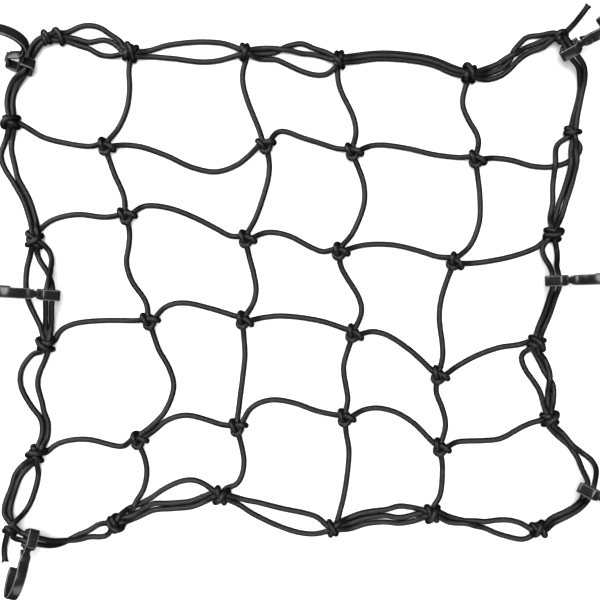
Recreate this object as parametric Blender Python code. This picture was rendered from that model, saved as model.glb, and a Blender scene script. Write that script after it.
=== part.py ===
"""Elastic cargo net: a hand-knotted six by six mesh of 4 mm braided elastic cord with a doubled and
tripled border, lying loose on a floor, and six moulded hooks threaded on the border.
Tables are in millimetres, +X right, +Y away, +Z up; the objects are in metres."""

import math

import bmesh
import bpy
from mathutils import Vector, kdtree

MM = 0.001
CENTRE = (12.03, 0.48)  # the middle of the whole net in the tables' own coordinates

CORD_RADIUS = 2.05  # to the corners of the five-sided cord
CORD_SIDES = 5
LYING = 2.0  # height of a cord's middle where it lies on the floor
CORD_GAP = 4.3  # least distance between the middles of two cords outside the knots
KNOT_REACH = 9.0  # cords within this distance of a knot's middle belong to the knot
KNOT_SIDES = 6
BURIED = 3.0  # a cord ends this far from the middle of its knot

# Rings of a knot: place along its axis and thickness, as shares of half its length and width.
# The two thick rings are the turns of cord, with the groove between them.
RINGS = (
    (-1.0, 0.50),
    (-0.58, 0.97),
    (-0.08, 0.80),
    (0.44, 1.00),
    (1.0, 0.52),
)

# Knots, rows a to f from the far side and columns 1 to 6 from the left:
# x, y, turn of the axis in degrees, length, width, height.
KNOTS = {
    "a1": (-189.0, 196.2, 0, 10, 15.5, 11),
    "a2": (-127.0, 184.6, -8, 16, 14, 11),
    "a3": (-41.3, 185.0, -8, 12, 14, 11),
    "a4": (29.4, 179.0, 22, 13, 13, 11),
    "a5": (126.4, 168.8, -8, 12.5, 15, 11),
    "a6": (193.0, 195.6, -40, 12, 11.5, 11),
    "b1": (-215.6, 133.0, 88, 11.5, 12.5, 11),
    "b2": (-145.0, 115.2, 60, 12.5, 12, 10),
    "b3": (-26.0, 116.5, 85, 13, 13, 10),
    "b4": (39.6, 111.2, 45, 13.5, 12.5, 10),
    "b5": (131.8, 105.6, 45, 12.5, 12, 10),
    "b6": (203.6, 125.2, 88, 11.5, 11.5, 11),
    "c1": (-197.6, 45.2, 72, 18, 15, 11),
    "c2": (-129.6, 63.6, 62, 13, 12, 10),
    "c3": (-40.0, 46.2, 62, 16, 12.5, 10),
    "c4": (29.8, 37.0, 25, 13, 10.5, 10),
    "c5": (115.8, 29.0, 50, 14.5, 12, 10),
    "c6": (188.8, 49.2, 90, 10.5, 12.5, 11),
    "d1": (-189.2, -32.8, 86, 13.5, 13, 11),
    "d2": (-112.4, -15.0, 60, 13.5, 12, 10),
    "d3": (-41.8, -14.8, 42, 14, 12.5, 10),
    "d4": (40.4, -24.8, 60, 15.5, 12, 10),
    "d5": (104.2, -56.0, 48, 19, 12.5, 10),
    "d6": (176.4, -32.5, 62, 14, 14, 11),
    "e1": (-196.4, -115.0, 60, 13.5, 12.5, 11),
    "e2": (-120.8, -104.0, 30, 13, 11.5, 10),
    "e3": (-46.8, -94.2, 72, 15, 12, 10),
    "e4": (34.0, -87.4, 40, 13.5, 12, 10),
    "e5": (105.4, -109.8, 42, 14.5, 13, 10),
    "e6": (186.0, -88.6, 90, 12, 15.5, 11),
    "f1": (-214.0, -170.4, 48, 13.5, 13, 11),
    "f2": (-137.0, -167.0, 32, 14, 15.5, 11),
    "f3": (-59.0, -145.6, -6, 14, 15.5, 11),
    "f4": (24.2, -170.2, 28, 13.5, 14.5, 11),
    "f5": (98.5, -159.0, 12, 17, 16.5, 11),
    "f6": (178.0, -171.3, 22, 13, 13.5, 11),
    "eye": (-179.8, 197.0, 0, 12, 11, 9),
}

LIFTED = {"a6": 9.0, "f1": 8.0}  # knots that a hook close by holds off the floor

# Cords of the mesh: knot, knot, and the points between them as x, y and, where lifted, z.
MESH_CORDS = (
    ("b1", "b2", ((-208, 131.5), (-193.5, 122.5), (-172, 117), (-155, 114.8))),
    ("b2", "b3", ((-134, 116.6), (-119, 114.8), (-100, 108.2), (-81, 99.5), (-62.5, 96.2),
                  (-46, 102), (-35, 111))),
    ("b3", "b4", ((-22.5, 124.5), (-14, 127.2), (1, 122), (16, 117.3), (29, 113))),
    ("b4", "b5", ((47.5, 115), (60, 116.4), (80.8, 113.7), (101, 109), (120, 106.7))),
    ("b5", "b6", ((142, 106.8), (158, 105), (175, 100.3), (189.5, 99.8), (201, 103.6),
                  (208.5, 109.5), (211, 116.5), (208.5, 122))),
    ("c1", "c2", ((-190.5, 57.5), (-180, 62), (-166, 64.2), (-146, 61.9), (-138, 62.8))),
    ("c2", "c3", ((-124.5, 69), (-113, 71), (-97, 68.6), (-81, 62.7), (-60, 52), (-48, 45))),
    ("c3", "c4", ((-32, 49.8), (-22, 51), (-8, 48), (8, 39.7), (20, 34.9))),
    ("c4", "c5", ((39.5, 39.8), (54, 41.8), (70, 41.3), (88, 37.2), (106, 31.4))),
    ("c5", "c6", ((126, 27.4), (142, 29.2), (160, 33), (173, 37.4), (181, 41))),
    ("d1", "d2", ((-182.5, -24), (-170, -18), (-152, -15.6), (-127, -15.5), (-121, -16))),
    ("d2", "d3", ((-106, -7.8), (-96, -3), (-85, -2.3), (-67, -6.3), (-50.5, -11.5))),
    ("d3", "d4", ((-33, -13.8), (-15, -11.9), (7.7, -14.2), (23, -17.7), (32.5, -21.5))),
    ("d4", "d5", ((49, -22.8), (63.5, -25.5), (81, -36.4), (96.5, -50))),
    ("d5", "d6", ((113, -52.3), (131.7, -42), (150, -35.5), (161, -34), (168, -33.5, 5))),
    ("e1", "e2", ((-188, -110), (-173.5, -105.3), (-158.7, -104.6), (-141, -108.8), (-131.5, -110.4))),
    ("e2", "e3", ((-112.5, -100.4), (-101.5, -91), (-86, -86.4), (-68, -90.4), (-54, -95.4))),
    ("e3", "e4", ((-41, -84.5), (-32.5, -78), (-20, -74.8), (-4, -77.3), (12, -83), (25.5, -86.2))),
    ("e4", "e5", ((42, -83.7), (56.7, -80.9), (72, -84.2), (86.5, -93.3), (98, -105))),
    ("e5", "e6", ((115, -106.4), (137.5, -105.4), (150, -104), (166.5, -95.2), (177, -90.5))),
    ("a2", "b2", ((-129, 175), (-127.8, 162), (-129.5, 145), (-135, 130.7), (-140.5, 122.5))),
    ("a3", "b3", ((-42.8, 174.5), (-43.2, 165), (-40.5, 153), (-34, 136), (-29, 124.5))),
    ("a4", "b4", ((27, 168), (31.5, 155), (39.4, 139), (42.3, 127), (41.6, 119.5))),
    ("a5", "b5", ((123.5, 158.5), (121.8, 147.5), (126.5, 135), (133, 124), (135.2, 114))),
    ("b2", "c2", ((-143.2, 106.5), (-139.5, 95), (-133.5, 82), (-130.2, 72))),
    ("b3", "c3", ((-23, 106), (-23.5, 93), (-27.5, 77.5), (-33.5, 60.5))),
    ("b4", "c4", ((43.3, 101), (48, 86), (48, 72), (42, 55), (36, 44))),
    ("b5", "c5", ((132.9, 96), (134.8, 80), (134.5, 58.5), (128, 41), (121.5, 33.3))),
    ("c2", "d2", ((-127.7, 54), (-128.3, 41.5), (-130.2, 28), (-126, 14), (-117, 1.5), (-113.8, -5))),
    ("c3", "d3", ((-39, 36), (-35, 21), (-32.9, 7), (-36, -6))),
    ("c4", "d4", ((29, 28), (36.5, 14.7), (44, 2.2), (46.6, -8.5), (44.5, -16.5))),
    ("c5", "d5", ((111.8, 19), (106, 1), (104.5, -13), (107, -35), (107.2, -45.5))),
    ("d2", "e2", ((-110.4, -23.5), (-106.5, -36), (-98, -51.5), (-94.7, -65), (-101.5, -84),
                  (-113, -96.6, 4))),
    ("d3", "e3", ((-42.3, -24), (-41.3, -41), (-43, -58), (-46, -82))),
    ("d4", "e4", ((36.8, -34.5), (32.7, -50), (34.5, -65), (36.8, -78.5))),
    ("d5", "e5", ((101, -66), (106.5, -80.5), (109.5, -93), (108.6, -101))),
    ("e2", "f2", ((-118, -113), (-114.9, -126), (-117, -141.5), (-124, -154.5), (-130, -160.5))),
    ("e3", "f3", ((-44.8, -105), (-42, -121), (-44.8, -135), (-51, -142.5))),
    ("e4", "f4", ((34, -97), (36.7, -112), (35, -134), (31.5, -153), (28.5, -162))),
    ("e5", "f5", ((107, -119), (106.7, -133), (105.3, -147), (103, -153))),
)

# Cords of the border, the same way; ("name", side) passes the cord through that hook's strap loop,
# on the side towards its round hook (1) or away from it (-1).
BORDER_CORDS = (
    ("eye", "a2", ((-173, 201.5), (-163, 205.6), (-152, 205), (-140.5, 198.8), (-133, 191.5))),
    ("eye", "a2", ((-169, 196.2), (-160, 194), (-148, 194.7), (-137, 191))),
    ("eye", "a2", ((-170, 192.2), (-160, 188.6), (-148, 183.3), (-137.5, 182.8))),
    ("a1", "eye", ((-185, 200), (-182, 201.2))),
    ("a1", "eye", ((-185, 192.5), (-182, 192))),
    ("a2", "a3", ((-117, 186.9), (-98, 191.3), (-76, 193.6), (-57, 192.5), (-50, 190.5))),
    ("a2", "a3", ((-117, 182), (-97, 181.3), (-73, 178.5), (-57, 180.3), (-50.5, 183))),
    ("a3", "a4", ((-31.5, 188.8), (-12, 186.6, 6), (8, 183.3), (20, 182))),
    ("a3", "a4", ((-31, 184.6), (-20, 186, 2.5), (-8, 191.6), (3, 192.2), (13, 188.5), (22, 184.5, 5))),
    ("a3", "a4", ((-32, 181), (-17, 179.4), (3, 171), (15, 168.3), (23.5, 170))),
    ("a4", "a5", ((40, 184), (56.7, 186.3), (78, 185), (97, 181.8), (116, 175))),
    ("a4", "a5", ((40, 180.5, 5), (58, 183, 5), (80, 182, 5), (100, 178.4, 5), (117, 171.5, 5))),
    ("a4", "a5", ((40, 177.8), (58.7, 180), (82, 179.2), (100, 175.6), (116, 167.8))),
    ("a5", "a6", ((137, 173), (151, 178.2), (160, 183.6, 6), (173, 190), (185.5, 193.4, 8))),
    ("a5", "a6", ((137, 168.8), (149, 173), (155.5, 180), (160.5, 189, 2), (168, 196.5),
                  (177, 199), (185.5, 196.8, 8))),
    ("a5", "a6", ((137, 164.8), (150, 166.8), (162.5, 177.1), (174, 186.7), (186, 189.8, 8))),
    ("a6", "b6", (("hook_top_right", 1), (208.2, 175.2, 18), (210.9, 168.5, 12), (211.6, 162.5, 7),
                  (209.8, 152.5, 5), (206.4, 136, 5))),
    ("a6", "b6", (("hook_top_right", -1), (205.8, 173.2, 16), (208, 166.5, 9), (208.7, 159, 4),
                  (207, 148.5), (204.2, 136))),
    ("b6", "c6", ((196.5, 123), (192, 116), (191, 103, 6), (190, 90), (187.6, 66), (186.4, 58))),
    ("b6", "c6", ((202.4, 116), (201.7, 104, 6.3), (199, 86), (193.5, 64), (190.4, 58))),
    ("b6", "c6", ((206.8, 116.5), (208.4, 106, 6.3), (205.5, 91), (199, 74), (194.8, 61))),
    ("c6", "d6", ((183.2, 44.6, 6), (180.2, 39, 6.5), (182.6, 30, 10), (184.6, 23.5, 17),
                  ("hook_mid_right", -1), (185.6, 5, 17), (184.4, -2, 11), (181.5, -12.5, 4.5),
                  (177.8, -23))),
    ("c6", "d6", ((192.6, 41), (192, 31, 8), (190.4, 23.8, 17), ("hook_mid_right", 1),
                  (189.4, 5, 17), (188.6, -2, 11), (186.4, -13, 4.5), (181.6, -24))),
    ("d6", "e6", ((170, -36), (165.4, -41), (167.8, -50), (177.4, -64.4), (182.8, -78))),
    ("d6", "e6", ((178, -42), (181.5, -50), (186.3, -58, 2), (190.2, -65), (189.5, -78))),
    ("d6", "e6", ((181.2, -39), (185.2, -48), (186.8, -58, 6.3), (186.3, -70), (186, -77.5))),
    ("e6", "f6", ((189.8, -99), (201, -108, 2), (206.6, -116.8, 4), (208.9, -123, 9), (210.2, -129.3, 17),
                  ("hook_bottom_right", -1), (207.4, -149.4, 16), (204.4, -153.6, 9), (199, -157.8, 4),
                  (187.5, -165.3))),
    ("e6", "f6", ((194.2, -96.5), (203.5, -108.8, 6.3), (213, -114.8, 4), (218.9, -120.8, 8),
                  (219.8, -127, 15), ("hook_bottom_right", 1), (212.4, -150.8, 16), (208.4, -155.4, 9),
                  (202, -160.6, 4), (188, -169.2))),
    ("f6", "f5", ((168.5, -168), (157.7, -165.1), (140, -165.3), (124, -165.6, 2), (110.5, -162))),
    ("f6", "f5", ((176, -180), (167.3, -180), (153.8, -176.9), (138.5, -171.9), (124, -166.8, 6),
                  (110.5, -166.8, 4))),
    ("f5", "f4", ((88, -155.2), (75, -154.3), (59.6, -156.9), (45, -159.8), (34.5, -164.5))),
    ("f5", "f4", ((87.5, -160.4), (75, -162.8), (62, -161.6), (48, -163.8), (36, -168.6))),
    ("f5", "f4", ((89, -166), (75, -168), (60, -167.6), (45, -168.9), (35, -172.4))),
    ("f4", "f3", ((17.5, -164.2), (4.8, -160.1), (-13.5, -156.3), (-32.7, -151.4), (-49, -147.2))),
    ("f4", "f3", ((14.5, -175.4), (1, -174.7), (-15.4, -169.7), (-34, -161), (-50, -152))),
    ("f3", "f2", ((-68, -139.8), (-77, -135.4), (-88, -135.6), (-104.8, -143.1), (-121, -152.8),
                  (-127, -157.4))),
    ("f3", "f2", ((-69, -145.4), (-80, -150.5), (-95, -152.8), (-112, -152.6, 3), (-127.5, -161, 5))),
    ("f3", "f2", ((-68, -150), (-82, -154.8, 3), (-96.2, -155.9), (-112, -159.4), (-126.5, -165.4))),
    ("f2", "f1", ((-146.5, -165.6), (-157, -171.4), (-171, -178.8, 2), (-179.5, -182.4, 8),
                  (-185.4, -182, 16), ("hook_bottom_left", 1), (-207.6, -175.2, 20))),
    ("f2", "f1", ((-143.5, -176.9), (-157.7, -178.2), (-170, -179.2, 6), (-177.4, -179, 10),
                  (-183.4, -177.6, 17), ("hook_bottom_left", -1), (-206.4, -171.4, 20))),
    ("f1", "e1", ((-220.8, -162, 9), (-221, -153.4, 4), (-216.2, -141.3), (-212.4, -129.8),
                  (-205, -120.5))),
    ("f1", "e1", ((-216.9, -160.7, 8), (-216.6, -152.6, 4), (-212.6, -139, 4), (-209, -130), (-201.6, -123.8))),
    ("f1", "e1", ((-208.9, -163.1, 8), (-202.9, -153.8), (-198.1, -140.4), (-195.2, -125))),
    ("e1", "d1", ((-193.9, -104.5), (-193.6, -93), (-200.5, -81.5), (-209.3, -64.5), (-208.7, -51.9),
                  (-197, -36.5))),
    ("e1", "d1", ((-190.2, -105), (-188.4, -94), (-192.2, -80), (-196.7, -64), (-195.2, -53.8),
                  (-190.2, -43))),
    ("d1", "c1", ((-193.5, -22.5), (-199.5, -10), (-204.6, 2), (-205.5, 17.3), (-202.6, 35.5))),
    ("d1", "c1", ((-189, -21.3, 7), (-188, -12, 14), ("hook_mid_left", 1), (-184.6, 14.8, 21.5),
                  (-184.4, 22, 15), (-185, 30.5, 8), (-187.8, 38, 6))),
    ("d1", "c1", ((-186.2, -21, 6), (-184.6, -12, 13), ("hook_mid_left", -1), (-184.4, 14.8, 16.5),
                  (-188.6, 20.5, 9), (-192.8, 26.5, 4.5), (-197, 33.5))),
    ("c1", "b1", ((-202, 57.5), (-207.2, 73.1), (-219.2, 93.5), (-224.4, 108.7), (-220.5, 123))),
    ("c1", "b1", ((-197.8, 57), (-202.4, 75), (-211.8, 95), (-216, 111.5), (-214.8, 123))),
    ("b1", "a1", ((-219.8, 142.5), (-219.8, 154), (-214.6, 165, 6), ("hook_top_left", 1),
                  (-200, 190, 8))),
    ("b1", "a1", ((-215.6, 142.5), (-215.2, 151), (-210.8, 161, 4.5), ("hook_top_left", -1),
                  (-197.5, 185.5, 8))),
)

# Loose ends: knot, and the points out to the cut.
TAILS = (
    ("a6", ((201.6, 203, 9), (209.2, 211.6, 4), (216.6, 221.4, 2))),
    ("f1", ((-219.2, -178.4, 8), (-221.9, -187, 3), (-221.2, -196.6))),
)

# Hooks: x and y of the strap loop's middle, heading of the hook, how far its nose is raised and
# how far it leans to the left of its heading, in degrees.
HOOKS = {
    "hook_top_left": (-203.5, 174.0, 42.6, 66, 121.7),
    "hook_mid_left": (-184.0, 3.6, 176.5, 27, -2),
    "hook_bottom_left": (-196.2, -174.9, -102, 18, -20),
    "hook_top_right": (198.8, 182.8, 26.7, 28, 18),
    "hook_mid_right": (187.8, 14.1, 1.7, 27, 2),
    "hook_bottom_right": (211.5, -140.6, -27, 27, 2),
}

# The hook's side view: along the hook from its waist, and out towards its tip.
HOOK_WIDTH = 7.8
WALL = 2.4  # thickness of the strap loop's walls
LOOP_MIDDLE = (-7.8, -5.2)  # where the two cords pass
LOOP_SIDE = 2.25  # the two cords lie this far to each side of the middle
FRAME = (  # gate finger, back wall, end wall, outer plate and waist wall: along, out, width
    (-2.8, 10.6, 7.4),
    (-5.8, 8.9, 7.6),
    (-13.0, 8.8, 7.8),
    (-14.2, 7.6, 7.8),
    (-14.2, -8.4, 7.8),
    (-13.0, -9.6, 7.8),
    (-2.6, -9.6, 7.8),
    (-1.4, -8.4, 7.8),
    (-1.4, 0.0, 7.8),
)
SPINE = (  # shank, waist and start of the round hook: along, out, width, thickness
    (-14.2, 0.0, 7.6, 2.4),
    (-1.2, 0.0, 7.6, 2.4),
    (0.4, 0.0, 4.6, 2.6),
    (1.2, -0.1, 3.6, 2.7),
    (2.2, -0.3, 3.6, 2.8),
    (4.8, -0.9, 7.6, 3.0),
)
ROUND_MIDDLE = (17.6, 14.6)
ROUND_HALF = (16.9, 16.2)  # half length and half depth of the round hook
ROUND_FROM, ROUND_TO, ROUND_STEPS = 60, 284, 15
TIP_LIP = (13.0, 31.6, 7.4, 2.6)
TONGUE = (  # springs from the round hook and closes the strap loop's gate
    (8.6, -0.6, 6.4, 2.4),
    (5.4, 2.6, 6.4, 2.2),
    (2.8, 6.0, 6.4, 2.1),
    (0.2, 8.8, 6.4, 1.9),
)


def material(name, colour, roughness):
    made = bpy.data.materials.new(name)
    made.use_nodes = True
    shader = made.node_tree.nodes["Principled BSDF"]
    shader.inputs["Base Color"].default_value = (*colour, 1.0)
    shader.inputs["Roughness"].default_value = roughness
    return made


def add_object(name, verts, faces, mat=None):
    """A mesh object from points in millimetres, shaded smooth, with its faces turned out."""
    mesh = bpy.data.meshes.new(name)
    placed = [((x - CENTRE[0]) * MM, (y - CENTRE[1]) * MM, z * MM) for x, y, z in verts]
    mesh.from_pydata(placed, [], faces)
    bm = bmesh.new()
    bm.from_mesh(mesh)
    bmesh.ops.recalc_face_normals(bm, faces=bm.faces)
    bm.to_mesh(mesh)
    bm.free()
    mesh.polygons.foreach_set("use_smooth", [True] * len(mesh.polygons))
    if mat:
        mesh.materials.append(mat)
    obj = bpy.data.objects.new(name, mesh)
    bpy.context.scene.collection.objects.link(obj)
    return obj


def skin(rings):
    """Faces between rings of equal size, with both ends closed."""
    size = len(rings[0])
    verts = [point for ring in rings for point in ring]
    faces = [tuple(range(size))[::-1]]
    for i in range(len(rings) - 1):
        for j in range(size):
            k = (j + 1) % size
            faces.append((i * size + j, i * size + k, (i + 1) * size + k, (i + 1) * size + j))
    last = (len(rings) - 1) * size
    faces.append(tuple(range(last, last + size)))
    return verts, faces


# Hooks

def hook_axes(heading, rise, lean):
    """Directions along the hook, out to its tip and across its width."""
    h, p, r = (math.radians(v) for v in (heading, rise, lean))
    along = Vector((math.cos(h) * math.cos(p), math.sin(h) * math.cos(p), math.sin(p)))
    left = Vector((-math.sin(h), math.cos(h), 0.0))
    down = left.cross(along)
    out = down * math.cos(r) + left * math.sin(r)
    return along, out, along.cross(out)


def strip(rows):
    """A flat band that follows rows of along, out, width and thickness."""
    rings = []
    for i, (along, out, width, thick) in enumerate(rows):
        before = Vector(rows[max(i - 1, 0)][:2])
        after = Vector(rows[min(i + 1, len(rows) - 1)][:2])
        here = Vector((along, out))
        first = (here - before).normalized() if i else (after - here).normalized()
        second = (after - here).normalized() if i < len(rows) - 1 else first
        run = (first + second).normalized()
        side = Vector((-run.y, run.x)) * (thick / 2 / max(run.dot(first), 0.5))
        inner, outer = here + side, here - side
        half = width / 2
        rings.append([
            (inner.x, inner.y, half),
            (inner.x, inner.y, -half),
            (outer.x, outer.y, -half),
            (outer.x, outer.y, half),
        ])
    return skin(rings)


def hook_strips():
    """The three bands of one hook, in its own along, out and across."""
    frame = [(along, out, width, WALL) for along, out, width in FRAME]
    spine = list(SPINE)
    for i in range(ROUND_STEPS + 1):
        turn = math.radians(ROUND_FROM + (ROUND_TO - ROUND_FROM) * i / ROUND_STEPS)
        along = ROUND_MIDDLE[0] - ROUND_HALF[0] * math.cos(turn)
        out = ROUND_MIDDLE[1] - ROUND_HALF[1] * math.sin(turn)
        spine.append((along, out, HOOK_WIDTH, 3.4))
    spine.append(TIP_LIP)
    return strip(frame), strip(spine), strip(TONGUE)


def hook_place(name, strips):
    """The hook's axes and the place of its waist, standing on the floor."""
    x, y, heading, rise, lean = HOOKS[name]
    axes = hook_axes(heading, rise, lean)
    along, out, across = axes
    lowest = min(p[0] * along.z + p[1] * out.z + p[2] * across.z for verts, _ in strips for p in verts)
    middle = along * LOOP_MIDDLE[0] + out * LOOP_MIDDLE[1]
    return axes, Vector((x - middle.x, y - middle.y, -lowest))


def to_world(place, point):
    (along, out, across), waist = place
    return waist + along * point[0] + out * point[1] + across * point[2]


# Cords

def lay(start, end, between, places):
    """The points of one cord, threaded through the hooks that it names."""
    line = [start]
    for item in between:
        if isinstance(item[0], str):
            place, side = places[item[0]], item[1]
            along = LOOP_MIDDLE[0] + side * LOOP_SIDE
            passing = [to_world(place, (along, LOOP_MIDDLE[1], c)) for c in (-5.5, 0.0, 5.5)]
            far = (passing[0] - line[-1]).length > (passing[2] - line[-1]).length
            line += passing[::-1] if far else passing
        else:
            line.append(Vector((item[0], item[1], item[2] if len(item) > 2 else LYING)))
    if end is not None:
        line.append(end)
    return line


def curve(line, step=2.0):
    """A smooth line through the points, sampled every step."""
    ends = [line[0] * 2 - line[1], *line, line[-1] * 2 - line[-2]]
    out = [line[0].copy()]
    for p0, p1, p2, p3 in zip(ends, ends[1:], ends[2:], ends[3:]):
        t1 = (p1 - p0).length ** 0.5
        t2 = t1 + (p2 - p1).length ** 0.5
        t3 = t2 + (p3 - p2).length ** 0.5
        count = max(1, round((p2 - p1).length / step))
        for i in range(1, count + 1):
            t = t1 + (t2 - t1) * i / count
            a1 = p0.lerp(p1, t / t1)
            a2 = p1.lerp(p2, (t - t1) / (t2 - t1))
            a3 = p2.lerp(p3, (t - t2) / (t3 - t2))
            b1 = a1.lerp(a2, t / t2)
            b2 = a2.lerp(a3, (t - t1) / (t3 - t1))
            out.append(b1.lerp(b2, (t - t1) / (t2 - t1)))
    return out


def settle(cords, middles, rounds=40):
    """Moves cords that lie too close apart, one beside or over the other, and keeps them off the floor."""
    spots = [(i, j) for i, cord in enumerate(cords) for j in range(len(cord))]
    loose = []
    for i, j in spots:
        point = cords[i][j]
        in_knot = any((point.xy - m.xy).length < KNOT_REACH for m in middles)
        loose.append(not in_knot and 0 < j)
    shift = [Vector((0.0, 0.0, 0.0)) for _ in spots]
    first = {}
    for n, (i, j) in enumerate(spots):
        first.setdefault(i, n)
    for _ in range(rounds):
        now = [cords[i][j] + shift[n] for n, (i, j) in enumerate(spots)]
        tree = kdtree.KDTree(len(now))
        for n, point in enumerate(now):
            tree.insert(point, n)
        tree.balance()
        push = {}
        for n, point in enumerate(now):
            if not loose[n]:
                continue
            for other, m, distance in tree.find_range(point, CORD_GAP):
                if spots[m][0] == spots[n][0]:
                    continue
                apart = point - other
                if distance < 0.01:
                    apart = Vector((0.0, 0.0, 1.0 if n > m else -1.0))
                share = 0.5 if loose[m] else 1.0
                move = apart.normalized() * (CORD_GAP - distance) * share * 0.6
                if n not in push or move.length > push[n].length:
                    push[n] = move
        for n, move in push.items():
            shift[n] = shift[n] + move
        smooth = []
        for n, (i, j) in enumerate(spots):
            value = shift[n]
            if 0 < j < len(cords[i]) - 1:
                value = value * 0.6 + (shift[n - 1] + shift[n + 1]) * 0.2
            if not loose[n]:
                value = value * 0.3
            low = LYING - (cords[i][j].z + value.z)
            if low > 0:
                value = value + Vector((0.0, 0.0, low))
            smooth.append(value)
        shift = smooth
    return [[cords[i][j] + shift[first[i] + j] for j in range(len(cords[i]))] for i in range(len(cords))]


def thin_out(line, within):
    """The fewest points of the line that keep it within this distance."""
    if len(line) < 3:
        return list(line)
    a, b = line[0], line[-1]
    along = b - a
    worst, where = -1.0, 0
    for i in range(1, len(line) - 1):
        share = (line[i] - a).dot(along) / max(along.length_squared, 1e-9)
        off = (line[i] - a - along * min(max(share, 0.0), 1.0)).length
        if off > worst:
            worst, where = off, i
    if worst <= within:
        return [a, b]
    return thin_out(line[: where + 1], within)[:-1] + thin_out(line[where:], within)


def tube(line):
    """A five-sided cord."""
    rings = []
    for i, here in enumerate(line):
        run = (line[min(i + 1, len(line) - 1)] - line[max(i - 1, 0)]).normalized()
        side = Vector((run.y, -run.x, 0.0)).normalized()
        over = side.cross(run)
        ring = []
        for k in range(CORD_SIDES):
            turn = 2 * math.pi * k / CORD_SIDES
            ring.append(tuple(here + (side * math.cos(turn) + over * math.sin(turn)) * CORD_RADIUS))
        rings.append(ring)
    return skin(rings)


def knot(x, y, turn, length, width, height, lift=0.0):
    """A ridged knot, flat where it rests on the floor."""
    axis = Vector((math.cos(math.radians(turn)), math.sin(math.radians(turn)), 0.0))
    side = Vector((-axis.y, axis.x, 0.0))
    middle = Vector((x, y, height * 0.47))
    rings = []
    for place, share in RINGS:
        ring = []
        for k in range(KNOT_SIDES):
            a = 2 * math.pi * k / KNOT_SIDES
            reach = 1.1 if math.sin(a) > 0 else 1.4
            point = middle + axis * (place * length / 2) + side * (math.cos(a) * share * width / 2)
            point.z += math.sin(a) * share * height / 2 * reach
            point.z = max(point.z, 0.0) + lift
            ring.append(tuple(point))
        rings.append(ring)
    return skin(rings)


def islands(bm):
    """The faces of each separate shell."""
    waiting = set(bm.faces)
    while waiting:
        shell, edge = set(), [waiting.pop()]
        while edge:
            face = edge.pop()
            shell.add(face)
            for side in face.edges:
                for other in side.link_faces:
                    if other in waiting:
                        waiting.discard(other)
                        edge.append(other)
        yield shell


def shell_volume(shell):
    total = 0.0
    for face in shell:
        first = face.verts[0].co
        for a, b in zip(face.verts[1:], face.verts[2:]):
            total += first.dot(a.co.cross(b.co))
    return total / 6


def keep_outer_shell(obj):
    """Replaces the object's mesh by its fused form, filling the small voids shut in between cords."""
    bpy.context.view_layer.update()
    graph = bpy.context.evaluated_depsgraph_get()
    bm = bmesh.new()
    bm.from_mesh(obj.evaluated_get(graph).to_mesh())
    bmesh.ops.triangulate(bm, faces=bm.faces)
    shells = sorted(islands(bm), key=shell_volume)
    for shell in shells[:-1]:
        bmesh.ops.delete(bm, geom=list(shell), context="FACES")
    obj.modifiers.clear()
    bm.to_mesh(obj.data)
    bm.free()


def build():
    for obj in list(bpy.data.objects):
        bpy.data.objects.remove(obj)
    cord_black = material("elastic_cord", (0.012, 0.012, 0.013), 0.75)
    hook_black = material("hook_plastic", (0.02, 0.02, 0.021), 0.35)

    strips = hook_strips()
    places = {name: hook_place(name, strips) for name in HOOKS}

    middles = {
        name: Vector((row[0], row[1], row[5] * 0.45 + LIFTED.get(name, 0.0)))
        for name, row in KNOTS.items()
    }
    cords = []
    for start, end, between in MESH_CORDS + BORDER_CORDS:
        line = lay(middles[start], middles[end], between, places)
        line[0] = line[0] + (line[1] - line[0]).normalized() * BURIED
        line[-1] = line[-1] + (line[-2] - line[-1]).normalized() * BURIED
        cords.append(curve(line))
    for start, between in TAILS:
        line = lay(middles[start], None, between, places)
        line[0] = line[0] + (line[1] - line[0]).normalized() * BURIED
        cords.append(curve(line))
    cords = settle(cords, list(middles.values()))

    helpers = bpy.data.collections.new("net_pieces")
    helpers.hide_render = True
    bpy.context.scene.collection.children.link(helpers)
    shapes = [knot(*row, LIFTED.get(name, 0.0)) for name, row in KNOTS.items()]
    shapes += [tube(thin_out(cord, 1.1)) for cord in cords]
    net = None
    for i, shape in enumerate(shapes):
        piece = add_object("net" if i == 0 else "net_piece", *shape, cord_black)
        if i == 0:
            net = piece
            continue
        bpy.context.scene.collection.objects.unlink(piece)
        helpers.objects.link(piece)
        piece.hide_render = True
        piece.display_type = "WIRE"
    union = net.modifiers.new("fuse", "BOOLEAN")
    union.operation = "UNION"
    union.solver = "EXACT"
    union.operand_type = "COLLECTION"
    union.collection = helpers
    keep_outer_shell(net)
    for piece in list(helpers.objects):
        bpy.data.objects.remove(piece)

    for name in HOOKS:
        body = None
        for i, (verts, faces) in enumerate(strips):
            placed = [tuple(to_world(places[name], p)) for p in verts]
            piece = add_object(name if i == 0 else name + "_strip", placed, faces, hook_black)
            if i == 0:
                body = piece
                continue
            piece.hide_render = True
            piece.display_type = "WIRE"
            fuse = body.modifiers.new("fuse", "BOOLEAN")
            fuse.operation = "UNION"
            fuse.solver = "EXACT"
            fuse.object = piece
    return cords


build()
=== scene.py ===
import cmath
from math import atan2, cos, pi, radians, sin

import bmesh
import bpy
import numpy as np
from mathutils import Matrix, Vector, kdtree
from numpy.linalg import norm


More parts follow.
